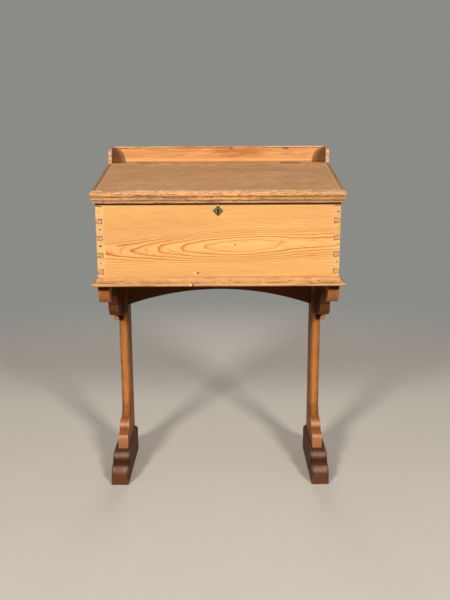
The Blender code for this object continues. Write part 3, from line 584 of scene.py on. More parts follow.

# Arched rail: one board housed into the posts under the box, its foot sawn to a long arch.
# It keeps the two standards upright and square.
# It stays in the shade under old brown varnish and dust, and its colour is painted nearly black as extra
# shade.
ARCH_FOOT = BOX_FOOT - 0.1262
ARCH_RISE = 0.0482
APRON_HALF = POST_INNER + 0.008
rail_varnish = pine_finish(
    "rail_varnish", "X", (0.22, 0.50), (0.085, 0.023, 0.0022), (0.048, 0.012, 0.0014), (0.16, 0.05, 0.014),
    (0.025, 0.008, 0.003), spacing=0.005, blotch=0.4, gloss=(0.6, 0.8), specular=0.1)
arch_radius = (POST_INNER ** 2 + ARCH_RISE ** 2) / (2 * ARCH_RISE)
arch_x = np.linspace(-POST_INNER, POST_INNER, 49)
arch_z = ARCH_FOOT + ARCH_RISE - arch_radius + np.sqrt(arch_radius ** 2 - arch_x ** 2)
apron_points = np.concatenate(([[-APRON_HALF, BEARER_TOP], [-APRON_HALF, ARCH_FOOT]],
                               np.column_stack((arch_x, arch_z)),
                               [[APRON_HALF, ARCH_FOOT], [APRON_HALF, BEARER_TOP]]))
shape = shaped_board(apron_points, BOX_FACE + 0.316, BOX_FACE + 0.336, "Y", POST_EASING, seed=41)
add_piece("arched_rail", shape, rail_varnish, "desk", "amber_pine", "apron_rail")

# Bottom and back boards: plain deal, planed inside and left rough outside, nailed on bare.
# They have gone grey-brown and dusty, and were never waxed. The back is two boards, joined at half height.
BACK_JOINT = 0.7806
raw_deal = pine_finish(
    "raw_deal", "X", (0.30, 0.55), (0.56, 0.36, 0.19), (0.38, 0.21, 0.09), (0.7, 0.5, 0.3),
    (0.14, 0.08, 0.045), spacing=0.006, tilt=0.04, figure=0.7, fibre=0.6, dirt=0.9, gloss=(0.6, 0.8),
    specular=0.25)
place, x, y, z = spots_of(raw_deal)
wander = cloud(place, (6.0, 1.0, 1.0)) * 0.0012 + BACK_JOINT
lay(raw_deal, (near(z, wander, 0.0003, 0.0009, 0.9), (0.05, 0.03, 0.018)))


def refinish(finish, *nodes):
    """Gives solids that keep their shape a better finish."""
    for title in nodes:
        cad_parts[title].data.materials.clear()
        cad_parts[title].data.materials.append(finish)


refinish(raw_deal, "bottom_board_1", "bottom_board_2", "bottom_board_3", "back_board")

# Sides: waxed pine boards, their front ends cut to the pins of through dovetails.
# The pins show on the front as small blocks of pinkish end grain, with dirt in the joint round them.
# A thin painted shadow darkens the boards just under the lid's lip.
HALF = 0.3175
BOARD = 0.016
PIN_FOOT = 0.6678
PIN_PITCH = 0.0443
PIN_TIP = 0.0045
PIN_FLARE = 0.125
JOINT_DIRT = (0.10, 0.042, 0.022)
LIP_SHADOW = (0.045, 0.018, 0.008)
corner_joint, given, outlets = shader_group(
    "corner_joint", {"Vector": "Vector"}, {"Float": "Gap Tail Shaded"})
x, y, z = axes(given["Vector"])
depth = y - BOX_FACE
from_end = HALF - abs(x)
step = (z - PIN_FOOT) / PIN_PITCH
away = abs(step - calc("ROUND", step)) * PIN_PITCH
over = away - (from_end * PIN_FLARE + PIN_TIP)
cheek_gap = falls(abs(over), 0.0004, 0.0014) * falls(from_end, BOARD, BOARD + 0.0008)
root_gap = near(from_end, BOARD, 0.0004, 0.0014) * falls(over, 0.0, 0.0006)
gap = (calc("MAXIMUM", cheek_gap, root_gap) * falls(depth, BOARD, BOARD + 0.001)
       * between(cloud(given["Vector"], 260.0), 0.36, 0.6, 0.12, 1.0))
# Painted shadow: a thin dark line on the front faces just under the lid's lip
under_lip = between(z, 0.8412, 0.8428) * falls(z, 0.847, 0.850) * falls(depth, 0.0004, 0.0008)
feed(outlets, Gap=gap, Tail=falls(from_end, 0.019, 0.024), Shaded=under_lip)
side_wax = pine_finish(
    "side_wax", "Y", (0.36, 0.79), (0.84, 0.42, 0.15), (0.60, 0.20, 0.042), (0.9, 0.55, 0.27),
    (0.22, 0.095, 0.035), tilt=0.05, figure=1.0)
place, x, y, z = spots_of(side_wax)
hatch = between(cloud(place, (260.0, 260.0, 700.0)), 0.42, 0.6)
joint = placed(side_wax.node_tree, corner_joint, Vector=place)
end_colour = tint(hatch, (0.90, 0.49, 0.20), (0.46, 0.215, 0.10))
lay(side_wax, (falls(y - BOX_FACE, 0.0002, 0.0006), end_colour), (joint["Gap"], JOINT_DIRT),
    (joint["Shaded"], LIP_SHADOW))
refinish(side_wax, "left_side", "right_side")

# Front board: one wide plain-sawn board with a bold figure of nested flames that point to the left.
# Its ends are the tails of the corner dovetails, glued and later nailed.
# The keyhole is sawn through it, and its walls are painted black as shade.
KEY_HEIGHT = 0.8290
FLAME_TURN = 0.073
FLAME_HEIGHT = 0.733
FLAME_LEAN = 0.043
FLAME_CORE = 0.0036
LEFT_RUN = 0.0225
LEFT_LIMIT = 0.39
RIGHT_RUN = 0.0353
RIGHT_LIMIT = 0.13
FOOT_LINE = 0.6536
flame_wax, tree, shader = start_finish("flame_wax")
place, x, y, z = spots_of(flame_wax)
slow = cloud(place, (9.0, 1.0, 22.0)) - 0.5
quick = cloud(place, (40.0, 1.0, 90.0)) - 0.5
reach = FLAME_TURN - x
square = abs(reach) ** 2.0
left_run = square * LEFT_RUN / (square * (1 / LEFT_LIMIT ** 2) + 1.0)
right_run = square * RIGHT_RUN / (square * (1 / RIGHT_LIMIT ** 2) + 1.0)
to_left = calc("GREATER_THAN", reach, 0.0)
run = left_run * to_left + right_run * (1.0 - to_left)
rise = z - (x * FLAME_LEAN + FLAME_HEIGHT)
radius = calc("SQRT", rise ** 2.0 + run + FLAME_CORE) + quick * 0.0007 + slow * 0.0022


def oval(x, z, across, up, wide, high):
    """A soft oval spot on the face of the box: 1 at its middle, 0 at its rim."""
    return falls(distance((x - across) / wide, (z - up) / high), 0.4, 1.0)


# The outermost flame runs off the board's end before it closes
figure = (between(radius, 0.0618, 0.0655, 1.25, 2.7) * between(radius, 0.0705, 0.078, 1.0, 0.58)
          * (1.0 - oval(x, z, -0.290, 0.7305, 0.050, 0.013)))
wood = placed(tree, pine_wood, Vector=place, Radius=radius - 0.0597, Spacing=0.0025,
              Pale=(0.955, 0.510, 0.162), Dark=(0.49, 0.150, 0.018), Figure=figure, Fibre=0.55, Uneven=0.35,
              Sharp=between(abs(rise), 0.0, 0.018, 9.0, 4.5))
red, green, blue = [Amount(part) for part in node(tree, "SeparateColor", {0: wood["Color"]}).outputs]
steady = result(tree, "CombineColor", {0: red * 0.6 + 0.378, 1: green, 2: blue})
shader.inputs["Specular IOR Level"].default_value = 0.4
shade(shader, steady, between(wood["Height"], 0.2, 1.0, 0.36, 0.48), wood["Height"], 0.12)

# A reddish line along the foot, a pin knot with a pale patch beside it, and a resin fleck
lay(flame_wax,
    (near(z, FOOT_LINE, 0.0004, 0.0016, 0.75) * between(x, -0.20, -0.05), (0.70, 0.20, 0.035)),
    (oval(x, z, -0.061, 0.6645, 0.009, 0.005), (0.95, 0.58, 0.26)),
    (oval(x, z, -0.0537, 0.6638, 0.0055, 0.0035), (0.20, 0.13, 0.085)),
    (oval(x, z, 0.0437, 0.7378, 0.004, 0.003), (0.42, 0.22, 0.12)))

# Bleached tails, dark end grain, dirt in the joints, a painted shadow under the lip, and the keyhole's walls
# painted black as shade
joint = placed(tree, corner_joint, Vector=place)
keyhole_shade = oval(x, z, 0.0, KEY_HEIGHT - 0.004, 0.0095, 0.018) * between(y - BOX_FACE, 0.0002, 0.0006)
lay(flame_wax,
    (joint["Tail"] * between(x, -0.1, 0.1, 0.4, 0.15), (0.97, 0.60, 0.26)),
    (between(abs(x), HALF - 0.0006, HALF - 0.0002) * 0.7, (0.45, 0.22, 0.11)),
    (joint["Gap"], JOINT_DIRT), (joint["Shaded"], LIP_SHADOW),
    (keyhole_shade, (0.012, 0.007, 0.004)))
refinish(flame_wax, "front_board")

# Nails: cut nails driven through the tails when the corners worked loose.
# They are iron, rusted black in their holes, and their heads stand a little proud.
HEAD_SIDES = 12
HEAD_RINGS = np.array([1.0, 0.7, 0.3])
NAIL_RISE = 0.0003
ACROSS = np.array([1.0, 0.0, 0.0])
UPRIGHT = np.array([0.0, 0.0, 1.0])


def heads(centres, across, up, half_across, half_up, rise):
    """Many small heads at once: at each centre a low dome on an uneven oval.

    At a share r of its reach and an angle a, a head lies at centre + r (half across cos a) across
    + r (half up sin a) up, raised by rise (1.05 - r^2) along the third direction.
    """
    count = len(centres)
    angle = np.linspace(0.0, 2 * np.pi, HEAD_SIDES, endpoint=False)[None, :, None, None]
    reach = HEAD_RINGS[None, None, :, None]
    number = np.arange(count)[:, None, None, None]
    uneven = 1 + 0.14 * np.sin(3 * angle + 2.4 * number) + 0.08 * np.sin(5 * angle + 1.3 * number)
    wide = np.broadcast_to(half_across, count)[:, None, None, None]
    tall = np.broadcast_to(half_up, count)[:, None, None, None]
    place = np.asarray(centres, float)[:, None, None, :]
    place = place + reach * uneven * (wide * np.cos(angle) * across + tall * np.sin(angle) * up)
    place = place + rise * (1.05 - reach ** 2) * np.cross(across, up)
    rings = len(HEAD_RINGS)
    first = np.arange(count)[:, None] * HEAD_SIDES * rings
    rim = np.arange(HEAD_SIDES) * rings
    faces = (grid_faces(HEAD_SIDES, rings)[None] + first[:, :, None]).reshape(-1, 4).tolist()
    faces += (first + rim + rings - 1).tolist() + (first + rim[::-1]).tolist()
    return place.reshape(-1, 3), faces, {}


rust, tree, shader = start_finish("rusty_nail")
shade(shader, tint(cloud(where(tree), 900.0), (0.018, 0.010, 0.007), (0.06, 0.032, 0.02)), 0.75)
nail_x, nail_z, nail_wide, nail_high = np.array([
    [-0.3069, 0.7797, 0.0026, 0.0018], [-0.3074, 0.7359, 0.0040, 0.0021], [-0.3025, 0.7147, 0.0022, 0.0016],
    [-0.3079, 0.6903, 0.0016, 0.0012], [-0.3089, 0.8259, 0.0016, 0.0011], [0.3113, 0.8242, 0.0032, 0.0016],
    [0.3124, 0.7392, 0.0015, 0.0012], [0.3112, 0.6916, 0.0024, 0.0017], [0.3118, 0.7818, 0.0012, 0.0010]]).T
nail_places = np.column_stack((nail_x, 0 * nail_x + BOX_FACE, nail_z))
shape = heads(nail_places, ACROSS, UPRIGHT, nail_wide, nail_high, NAIL_RISE)
add_piece("corner_nails", shape, rust, "desk", "iron")

# Base moulding: a cove over a bead, worked in the length, mitred at the front corners and nailed on.
# It is rubbed pale, and darker and browner along the bead.
BOX_WIDTH = 0.635
BOX_DEPTH = 0.390
BOX_MIDDLE = BOX_FACE + BOX_DEPTH / 2
BOX_BACK = BOX_FACE + BOX_DEPTH
PROFILE_STEP = 0.0009
LENGTH_STEP = 0.004
DENT_DEPTH = 0.0012
DENT_TALL = 0.0035
ROUNDS_WORN = 0.00025
base_wax_across, base_wax_deep = [
    pine_finish(name, run, pith, (0.88, 0.44, 0.160), (0.62, 0.235, 0.062), (0.86, 0.46, 0.175),
                (0.24, 0.095, 0.034), spacing=0.003, figure=0.6, wear=0.35, dirt=1.0, blotch=0.75,
                chamfer_dark=0.3)
    for name, run, pith in (("base_wax_across", "X", (-0.25, 0.60)), ("base_wax_deep", "Y", (0.36, 0.60)))]


def arc(across, up, radius, first, last):
    """Points of an arc about a centre, between two angles in degrees."""
    turn = np.radians(np.linspace(first, last, CURVE_STEPS))
    return np.column_stack((across + radius * np.cos(turn), up + radius * np.sin(turn)))


def moulding(profile, length, mitres, place_of, seed, dents=14, lean_along=0.0, lean_out=0.0, rub=None,
             dull=None):
    """A run of moulding: a profile carried along its length and mitred at its ends.

    A point of the profile at (out, up) and a share t of the length lies at
    x = (t - 1/2) length + out (t end mitre - (1 - t) start mitre) + up lean along.
    Dents are bell-shaped hollows in the length and round the profile, strongest on its rounds.
    """
    profile = evened(profile, PROFILE_STEP)
    inward, girth, bend = survey(profile)
    steps = int(length / LENGTH_STEP) + 1
    t = np.linspace(0.0, 1.0, steps)[None, :]
    chance = np.random.default_rng(seed)
    spot = chance.uniform(0.0, length, dents)
    height = chance.uniform(0.0, girth[-1], dents)
    wide = chance.uniform(0.002, 0.012, dents)
    deep = chance.uniform(0.2, 1.0, dents) ** 2 * DENT_DEPTH
    rounds = np.clip(bend * 0.004, 0, 1)[:, None]
    x_away = ((t[0][:, None] * length - spot) / wide) ** 2
    girth_away = ((girth[:, None] - height) / DENT_TALL) ** 2
    sunk = np.einsum("id,jd,d->ij", np.exp(-girth_away), np.exp(-x_away), deep) * rounds
    sunk = sunk + ROUNDS_WORN * rounds * (1 + sway(t * length, 0.09, seed))
    out = profile[:, :1] + inward[:, :1] * sunk
    up = profile[:, 1:] + inward[:, 1:] * sunk
    x = (t - 0.5) * length + out * (t * mitres[1] - (1 - t) * mitres[0]) + up * lean_along
    place = np.stack(place_of(x, out - up * lean_out, up), -1)
    hollow = np.clip(-bend * 0.003, 0, 1)
    hollow = np.max([np.roll(hollow, step) * (1 - 0.2 * abs(step)) for step in (-2, -1, 0, 1, 2)], axis=0)
    arris = np.clip(bend * 0.0035, 0, 1) if rub is None else rub(*profile.T)
    chamfer = 0 * bend if dull is None else dull(*profile.T)
    masks = {title: values[:, None] * np.ones((1, steps))
             for title, values in (("arris", arris), ("hollow", hollow), ("chamfer", chamfer))}
    loop = np.arange(len(profile)) * steps
    faces = grid_faces(len(profile), steps).tolist() + [loop[::-1].tolist(), (loop + steps - 1).tolist()]
    return place.reshape(-1, 3), faces, masks


def on_edge(side, half, front, middle, foot, x, out, up):
    """A place on one edge of a board: x runs along it, out points away from it, up starts at its foot."""
    if side == "front":
        return -x, front - out, foot + up
    sign = -1 if side == "left" else 1
    return sign * (half + out), middle - sign * x, foot + up


def base_dull(out, up):
    """The bead is darker, most of all its lower half."""
    return np.clip((0.0042 - up) / 0.0015, 0, 1) * 0.5 + 0.5 * (up < 0.0093)


base_profile = np.concatenate((
    [[0.0003, 0.0]], arc(0.0115, 0.0045, 0.0045, -90, 90),
    outline(0.0, (0.0115, 0.0093), ("line", 0.0115, 0.0105), ("ease", 0.003, 0.0205), ("line", 0.003, 0.022)),
    [[0.0003, 0.022]]))
for side, length, mitres, seed, finish in (("front", BOX_WIDTH, (1, 1), 55, base_wax_across),
                                           ("left", BOX_DEPTH, (1, 0), 54, base_wax_deep),
                                           ("right", BOX_DEPTH, (0, 1), 55, base_wax_deep)):
    place_of = partial(on_edge, side, HALF, BOX_FACE, BOX_MIDDLE, BOX_FOOT)
    shape = moulding(base_profile, length, mitres, place_of, seed, dull=base_dull)
    add_piece(f"base_cove_{side}", shape, finish, "desk", "honey_pine", f"base_moulding_{side}")

# A fresh chip in the bead, and the nails that hold the moulding and the back, sunk in the wood
place, x, y, z = spots_of(base_wax_across)
lay(base_wax_across, (oval(x, z, -0.0735, BOX_FOOT + 0.004, 0.006, 0.0045), (0.95, 0.68, 0.46)),
    (oval(x, z, -0.0672, BOX_FOOT + 0.004, 0.0035, 0.0045), (0.16, 0.06, 0.03)))
nail_x = np.array([-0.2540, -0.1330, 0.0300, 0.1860, 0.2640])
nail_places = np.column_stack((nail_x, 0 * nail_x + BOX_FACE - 0.0057, 0 * nail_x + BOX_FOOT + 0.0136))
shape = heads(nail_places, ACROSS, (0, math.sqrt(0.5), math.sqrt(0.5)), 0.0022, 0.0013, NAIL_RISE)
add_piece("base_nails", shape, rust, "desk", "iron")
nail_z = np.array([0.676, 0.722, 0.768, 0.814, 0.860])
nail_y = BOX_BACK - 0.007 + 0.001 * np.sin(900 * nail_z)
for side, sign in (("left", -1), ("right", 1)):
    nail_places = np.column_stack((0 * nail_z + sign * HALF, nail_y, nail_z))
    shape = heads(nail_places, (0, sign, 0), UPRIGHT, 0.0020, 0.0024, NAIL_RISE)
    add_piece(f"{side}_side_nails", shape, rust, "desk", "iron")

# Fixed rail and its end mouldings: a board across the back that the lid hangs on.
# The edge moulding of the lid, a torus over a smaller bead, carries on round its ends.
# Rail and lid share a dull wax, worn in patches, with a pale seam beside the moulding.
HINGE_Y = 0.130
HINGE_HEIGHT = 0.932
RAIL_FRONT = 0.1305
RAIL_LENGTH = BOX_BACK - RAIL_FRONT
PANEL_HALF = 0.3185
SEAM_IN = 0.0058
lid_wax = pine_finish(
    "lid_wax", "X", (0.10, 1.01), (0.865, 0.44, 0.197), (0.55, 0.235, 0.091), (0.82, 0.52, 0.30),
    (0.40, 0.18, 0.08), spacing=0.0045, tilt=0.03, figure=0.9, fibre=0.8, wear=0.0, dirt=0.3, blotch=0.2,
    gloss=(0.5, 0.66), specular=0.15)
place, x, y, z = spots_of(lid_wax)
from_edge = PANEL_HALF - abs(x)
worn_patches = between(cloud(place, (26.0, 34.0, 34.0), 5.0, 0.65), 0.42, 0.66, 0.0, 0.5)
scratches = between(cloud(place, (9.0, 240.0, 240.0), 3.0, 0.7), 0.62, 0.74, 0.0, 0.4)
# Painted shade along the panel's side edges, for the moulding's rounding
margin_shade = falls(from_edge, 0.0044, 0.0052) * between(x, -0.1, 0.1, 0.75, 0.3)
seam = near(from_edge, SEAM_IN, 0.0006, 0.0013) * between(cloud(place, 40.0, 3.0), 0.35, 0.6, 0.3, 1.0)
lay(lid_wax, (worn_patches, (0.60, 0.30, 0.134)), (scratches, (0.98, 0.58, 0.30)),
    (margin_shade, (0.40, 0.19, 0.085)), (seam, (1.0, 0.64, 0.36)))
refinish(lid_wax, "hinge_rail", "lid_panel")
lip_wax_across = pine_finish(
    "lip_wax_across", "X", (-0.25, 0.84), (0.90, 0.45, 0.172), (0.52, 0.20, 0.058), (1.0, 0.74, 0.40),
    (0.07, 0.026, 0.010), spacing=0.003, figure=0.7, fibre=0.8, wear=1.0, dirt=1.0, blotch=0.62,
    chamfer_dark=0.18)
# The side mouldings get a darker copy of the lip's wax: painted shade, as they face outward
lip_wax_deep_shaded = pine_finish(
    "lip_wax_deep_shaded", "Y", (0.36, 0.84), (0.48, 0.225, 0.095), (0.34, 0.14, 0.048), (0.70, 0.40, 0.19),
    (0.13, 0.052, 0.021), spacing=0.003, figure=0.6, dirt=1.0, blotch=0.6)
place, x, y, z = spots_of(lip_wax_across)
mottles = between(cloud(place, (80.0, 360.0, 360.0), 4.0, 0.7), 0.50, 0.64, 0.0, 0.75)
browned = between(x, 0.05, 0.20, 0.0, 0.5) * between(z, 0.863, 0.867, 1.0, 0.35)
lay(lip_wax_across, (mottles, (0.20, 0.075, 0.026)), (browned, (0.40, 0.165, 0.055)))
lip_profile = np.concatenate((
    [[0.0003, 0.0]], arc(0.003, -0.008, 0.008, 90, -75), arc(0.0042, -0.0211, 0.0048, 60, -60),
    [[0.0042, -0.0259], [0.0070, -0.0263], [0.0070, -0.0306], [0.0058, -0.032], [0.0003, -0.032]]))


def lip_rub(out, up):
    """Sleeves rub a narrow line along the top of the torus: a bell over its height."""
    return np.exp(-((up + 0.0008) / 0.0013) ** 2) * (out > 0.002)


def lip_dull(out, up):
    """Below the torus the colour is darker and browner."""
    return np.clip((-0.0155 - up) / 0.001, 0, 1)


for side, seed in (("left", 64), ("right", 65)):
    place_of = partial(on_edge, side, PANEL_HALF, RAIL_FRONT, RAIL_FRONT + RAIL_LENGTH / 2, HINGE_HEIGHT)
    shape = moulding(lip_profile, RAIL_LENGTH, (0, 0), place_of, seed, dents=3, rub=lip_rub, dull=lip_dull)
    add_piece(f"rail_lip_{side}", shape, lip_wax_deep_shaded, "desk", "honey_pine", f"rail_moulding_{side}")

# Gallery: a rail with a quirked bead along its top, nailed on the back edge, and a rounded cheek at each end.
# Both are pine under an amber varnish. A brown stain has spread along the middle of the rail.
GALLERY_TOP = 0.980
GALLERY_HALF = 0.3265
GALLERY_FOOT = HINGE_HEIGHT + 0.0003
GALLERY_FRONT = BOX_BACK - 0.013
GALLERY_BEAD = 0.0028
BEAD_UP = GALLERY_TOP - GALLERY_BEAD
MARK_HEIGHT = 0.9725
CHEEK_THICK = 0.0108
CHEEK_EASING = 0.0024
CHEEK_TOP = GALLERY_TOP - 0.0003
CHEEK_BACK = GALLERY_FRONT - 0.0003
gallery_varnish = pine_finish(
    "gallery_varnish", "X", (0.25, 1.02), (0.96, 0.45, 0.148), (0.62, 0.205, 0.045), (0.98, 0.60, 0.27),
    (0.20, 0.070, 0.022), figure=0.9, fibre=0.8, dirt=1.0, blotch=0.3)
gallery_points = np.concatenate((
    [[GALLERY_FRONT, BEAD_UP - GALLERY_BEAD - 0.0012], [GALLERY_FRONT, GALLERY_FOOT],
     [BOX_BACK, GALLERY_FOOT]],
    arc(BOX_BACK - GALLERY_BEAD, BEAD_UP, GALLERY_BEAD, 0, 90),
    arc(GALLERY_FRONT + GALLERY_BEAD, BEAD_UP, GALLERY_BEAD, 90, 240)))
place, x, y, z = spots_of(gallery_varnish)
drips = cloud(place, (9.0, 40.0, 60.0), 4.0, 0.65)
in_front = falls(y, GALLERY_FRONT + 0.0006, GALLERY_FRONT + 0.0014)
stain = (between(x, -0.18, -0.07, 0.4, 1.0) * between(x, 0.09, 0.16, 1.0, 0.15) * between(z, 0.940, 0.952)
         * between(drips, 0.36, 0.62))
paled = falls(z, 0.9395, 0.9455) * between(drips, 0.3, 0.5) * 0.7
# Painted shadow: each cheek's shadow as a dark quarter-ellipse on the rail's front beside it
reach = distance((GALLERY_HALF - CHEEK_THICK - abs(x)) / 0.036, (z - GALLERY_FOOT) / 0.046)
cheek_shadows = falls(reach + (drips - 0.5) * 0.15, 0.88, 1.04, 0.78) * in_front
marks = between(cloud(place, (38.0, 38.0, 160.0), 3.0), 0.66, 0.72, 0.0, 0.7)
for across, wide in ((0.037, 0.007), (0.203, 0.013)):
    marks = calc("MAXIMUM", marks, oval(x, z, across, MARK_HEIGHT, wide, 0.0022))
lay(gallery_varnish, (stain, (0.60, 0.20, 0.056)), (paled, (0.98, 0.53, 0.19)),
    (falls(z, 0.9355, 0.9375, 0.7), (0.50, 0.23, 0.095)), (cheek_shadows, (0.16, 0.055, 0.018)),
    (marks * between(z, 0.966, 0.971) * in_front, (0.10, 0.04, 0.018)))

# The rail's profile is drawn in its own place, so it is carried straight across
shape = moulding(gallery_points, 2 * GALLERY_HALF, (0, 0), lambda *spot: spot, seed=71, dents=10)
add_piece("gallery_back", shape, gallery_varnish, "desk", "amber_pine", "gallery_rail")
cheek_varnish = pine_finish(
    "cheek_varnish", "Y", (0.35, 0.90), (0.72, 0.32, 0.12), (0.50, 0.18, 0.055), (0.84, 0.48, 0.25),
    (0.14, 0.055, 0.022), figure=0.6, wear=0.5, blotch=0.4, gloss=(0.24, 0.4), specular=0.5)
place, x, y, z = spots_of(cheek_varnish)
# Painted shade on the cheeks' inner faces, and painted glints in patches on their front edges
painted_glints = between(cloud(place, (20.0, 20.0, 75.0)), 0.36, 0.58) * falls(facing(x.tree)[1], -0.95, -0.6)
lay(cheek_varnish, (falls(outward(x), -0.95, -0.6, 0.65), (0.15, 0.05, 0.018)),
    (painted_glints, (0.98, 0.76, 0.56)))
cheek_points = outline(
    0.0, (RAIL_FRONT + 0.003, GALLERY_FOOT), ("line", RAIL_FRONT + 0.003, GALLERY_FOOT + 0.031),
    ("rise", RAIL_FRONT + 0.043, CHEEK_TOP), ("line", CHEEK_BACK, CHEEK_TOP),
    ("line", CHEEK_BACK, GALLERY_FOOT))
add_pair(
    "cheek", "gallery_cheek_{}", cheek_points, GALLERY_HALF - CHEEK_THICK, GALLERY_HALF, CHEEK_EASING,
    seed=75, finish=cheek_varnish, slot="amber_pine")
shape = heads([(0.3222, RAIL_FRONT + 0.0029, 0.9525)], ACROSS, UPRIGHT, 0.0015, 0.0018, 0.0002)
add_piece("cheek_nail", shape, rust, "desk", "iron")

# Lid: a flat panel with the edge moulding planted on three sides, mitred at the front corners.
# The moulding hangs over the box like a lip, and its top edge is rubbed pale by sleeves.
LID_SLOPE = math.radians(9.15)
SLOPE = math.tan(LID_SLOPE)
PANEL_LENGTH = (HINGE_Y - BOX_FACE + 0.001) / math.cos(LID_SLOPE)
LIP_RUN = PANEL_LENGTH - 0.0005
LIP_MIDDLE = -PANEL_LENGTH + LIP_RUN / 2


def on_lid(side, x, out, up):
    """A place on one edge of the lid, tipped to the lid's slope about the hinge line."""
    x, back, up = on_edge(side, PANEL_HALF, -PANEL_LENGTH, LIP_MIDDLE, 0.0, x, out, up)
    return (x, HINGE_Y + back * math.cos(LID_SLOPE) - up * math.sin(LID_SLOPE),
            HINGE_HEIGHT + back * math.sin(LID_SLOPE) + up * math.cos(LID_SLOPE))


for side, length, mitres, lean_along, lean_out, seed, finish in (
        ("front", 2 * PANEL_HALF, (1, 1), 0.0, SLOPE, 85, lip_wax_across),
        ("left", LIP_RUN, (1, 0), SLOPE, 0.0, 84, lip_wax_deep_shaded),
        ("right", LIP_RUN, (0, 1), -SLOPE, 0.0, 85, lip_wax_deep_shaded)):
    shape = moulding(
        lip_profile, length, mitres, partial(on_lid, side), seed, dents=26,
        lean_along=lean_along, lean_out=lean_out, rub=lip_rub, dull=lip_dull)
    add_piece(f"lid_lip_{side}", shape, finish, "lid", "honey_pine", f"lid_moulding_{side}")

# Hinges and lock case: iron butts let into the edges of rail and lid, each held by slotted screws.
# The case is a plain iron box, blackened, screwed behind the front board.
SCREW_HEIGHT = 0.9235
SCREW_RADIUS = 0.0034


def metal_finish(name, dark, bright, rough, lumps, metallic=1.0):
    """A metal whose colour and gloss change in patches."""
    made, tree, shader = start_finish(name)
    patches = cloud(where(tree), lumps, 4.0, 0.6)
    shader.inputs["Metallic"].default_value = metallic
    colour = tint(between(patches, 0.35, 0.7), dark, bright)
    shade(shader, colour, between(patches, 0.3, 0.7, *rough), patches, 0.15)
    return made


hinge_iron = metal_finish("hinge_iron", (0.17, 0.105, 0.048), (0.32, 0.195, 0.095), (0.7, 0.5), 160.0, 0.35)
place, x, y, z = spots_of(hinge_iron)
lay(hinge_iron, (falls(x, -0.05, 0.05, 0.55), (0.50, 0.27, 0.115)))
slot = near(z, SCREW_HEIGHT, 0.0003, 0.0006)
for across in (-0.229, -0.191, 0.191, 0.229):
    head = oval(x, z, across, SCREW_HEIGHT, SCREW_RADIUS, SCREW_RADIUS)
    lay(hinge_iron, (head, (0.30, 0.24, 0.19)), (head * slot, (0.02, 0.014, 0.01)))
for side in ("left", "right"):
    refinish(hinge_iron, f"hinge_{side}_fixed_leaf", f"hinge_{side}_lid_leaf", f"hinge_{side}_pin")
black_iron = metal_finish("black_iron", (0.05, 0.035, 0.028), (0.11, 0.095, 0.085), (0.65, 0.45), 160.0)
refinish(black_iron, "lock_case")

# Key plate, bolt and striking plate: sheet and bar brass, filed by hand.
# The plate is a lozenge pinned over the keyhole, green inside, its rim rubbed bright, with painted light
# along the rim's upper edges and painted shade along its lower ones.
# Years of the key have turned the edge of the hole over to a bright bead.
PLATE_FACE = BOX_FACE - 0.0023
PIN_OUT = 0.0112
PIN_RADIUS = 0.0011
KEYHOLE_RADIUS = 0.0036
KEYHOLE_FOOT = KEY_HEIGHT - 0.0110
KEYHOLE_HALF = 0.0022
RIM_RADIUS = 0.0006
RIM_STEP = 0.0008
key_brass = metal_finish("key_brass", (0.07, 0.047, 0.014), (0.21, 0.145, 0.045), (0.5, 0.38), 260.0, 0.7)
place, x, y, z = spots_of(key_brass)
handled = oval(x, z, 0.0, KEY_HEIGHT - 0.003, 0.0095, 0.0115) * 0.6
# Painted light and shade on the rim: bright along its upper edges, dark along its lower ones
rim_light_and_shade = tint(between(z, KEY_HEIGHT - 0.004, KEY_HEIGHT + 0.001), (0.22, 0.11, 0.022), (0.90, 0.80, 0.34))
spread = abs(x) + abs(z - KEY_HEIGHT)
lay(key_brass, (handled, (0.56, 0.38, 0.17)), (between(spread, 0.0116, 0.0130), rim_light_and_shade))
refinish(key_brass, "key_plate")


def tube(path, across, up, radius, sides=8):
    """A round bead along a closed path: each point is the path's, plus radius times a turning direction.

    The direction turns in the plane of the path's outward normal and the face's own normal.
    """
    inward = survey(path)[0]
    turn = np.linspace(0.0, 2 * np.pi, sides, endpoint=False)
    flat = path[:, None, :] - radius * np.cos(turn)[None, :, None] * inward[:, None, :]
    rise = radius * np.sin(turn)[None, :, None] * np.cross(across, up)
    place = flat[:, :, :1] * across + flat[:, :, 1:] * up + rise
    return place.reshape(-1, 3), grid_faces(len(path), sides, rolled=True).tolist(), {}


keyhole = np.concatenate((arc(0.0, KEY_HEIGHT, KEYHOLE_RADIUS, -52, 232),
                          [[-KEYHOLE_HALF, KEYHOLE_FOOT], [KEYHOLE_HALF, KEYHOLE_FOOT]]))
shape = tube(evened(keyhole, RIM_STEP), ACROSS, UPRIGHT, RIM_RADIUS)
shape[0][:, 1] += PLATE_FACE
bright_brass = metal_finish("bright_brass", (0.13, 0.088, 0.034), (0.36, 0.26, 0.115), (0.52, 0.40), 300.0)
add_piece("keyhole_rim", shape, bright_brass, "desk", "old_brass")
pin_places = [(-PIN_OUT, PLATE_FACE, KEY_HEIGHT), (PIN_OUT, PLATE_FACE, KEY_HEIGHT)]
shape = heads(pin_places, ACROSS, UPRIGHT, PIN_RADIUS, PIN_RADIUS, 0.0005)
add_piece("key_plate_pins", shape, bright_brass, "desk", "old_brass")
dull_brass = metal_finish("dull_brass", (0.30, 0.24, 0.10), (0.62, 0.50, 0.24), (0.5, 0.32), 120.0)
refinish(dull_brass, "lock_bolt", "strike_plate")

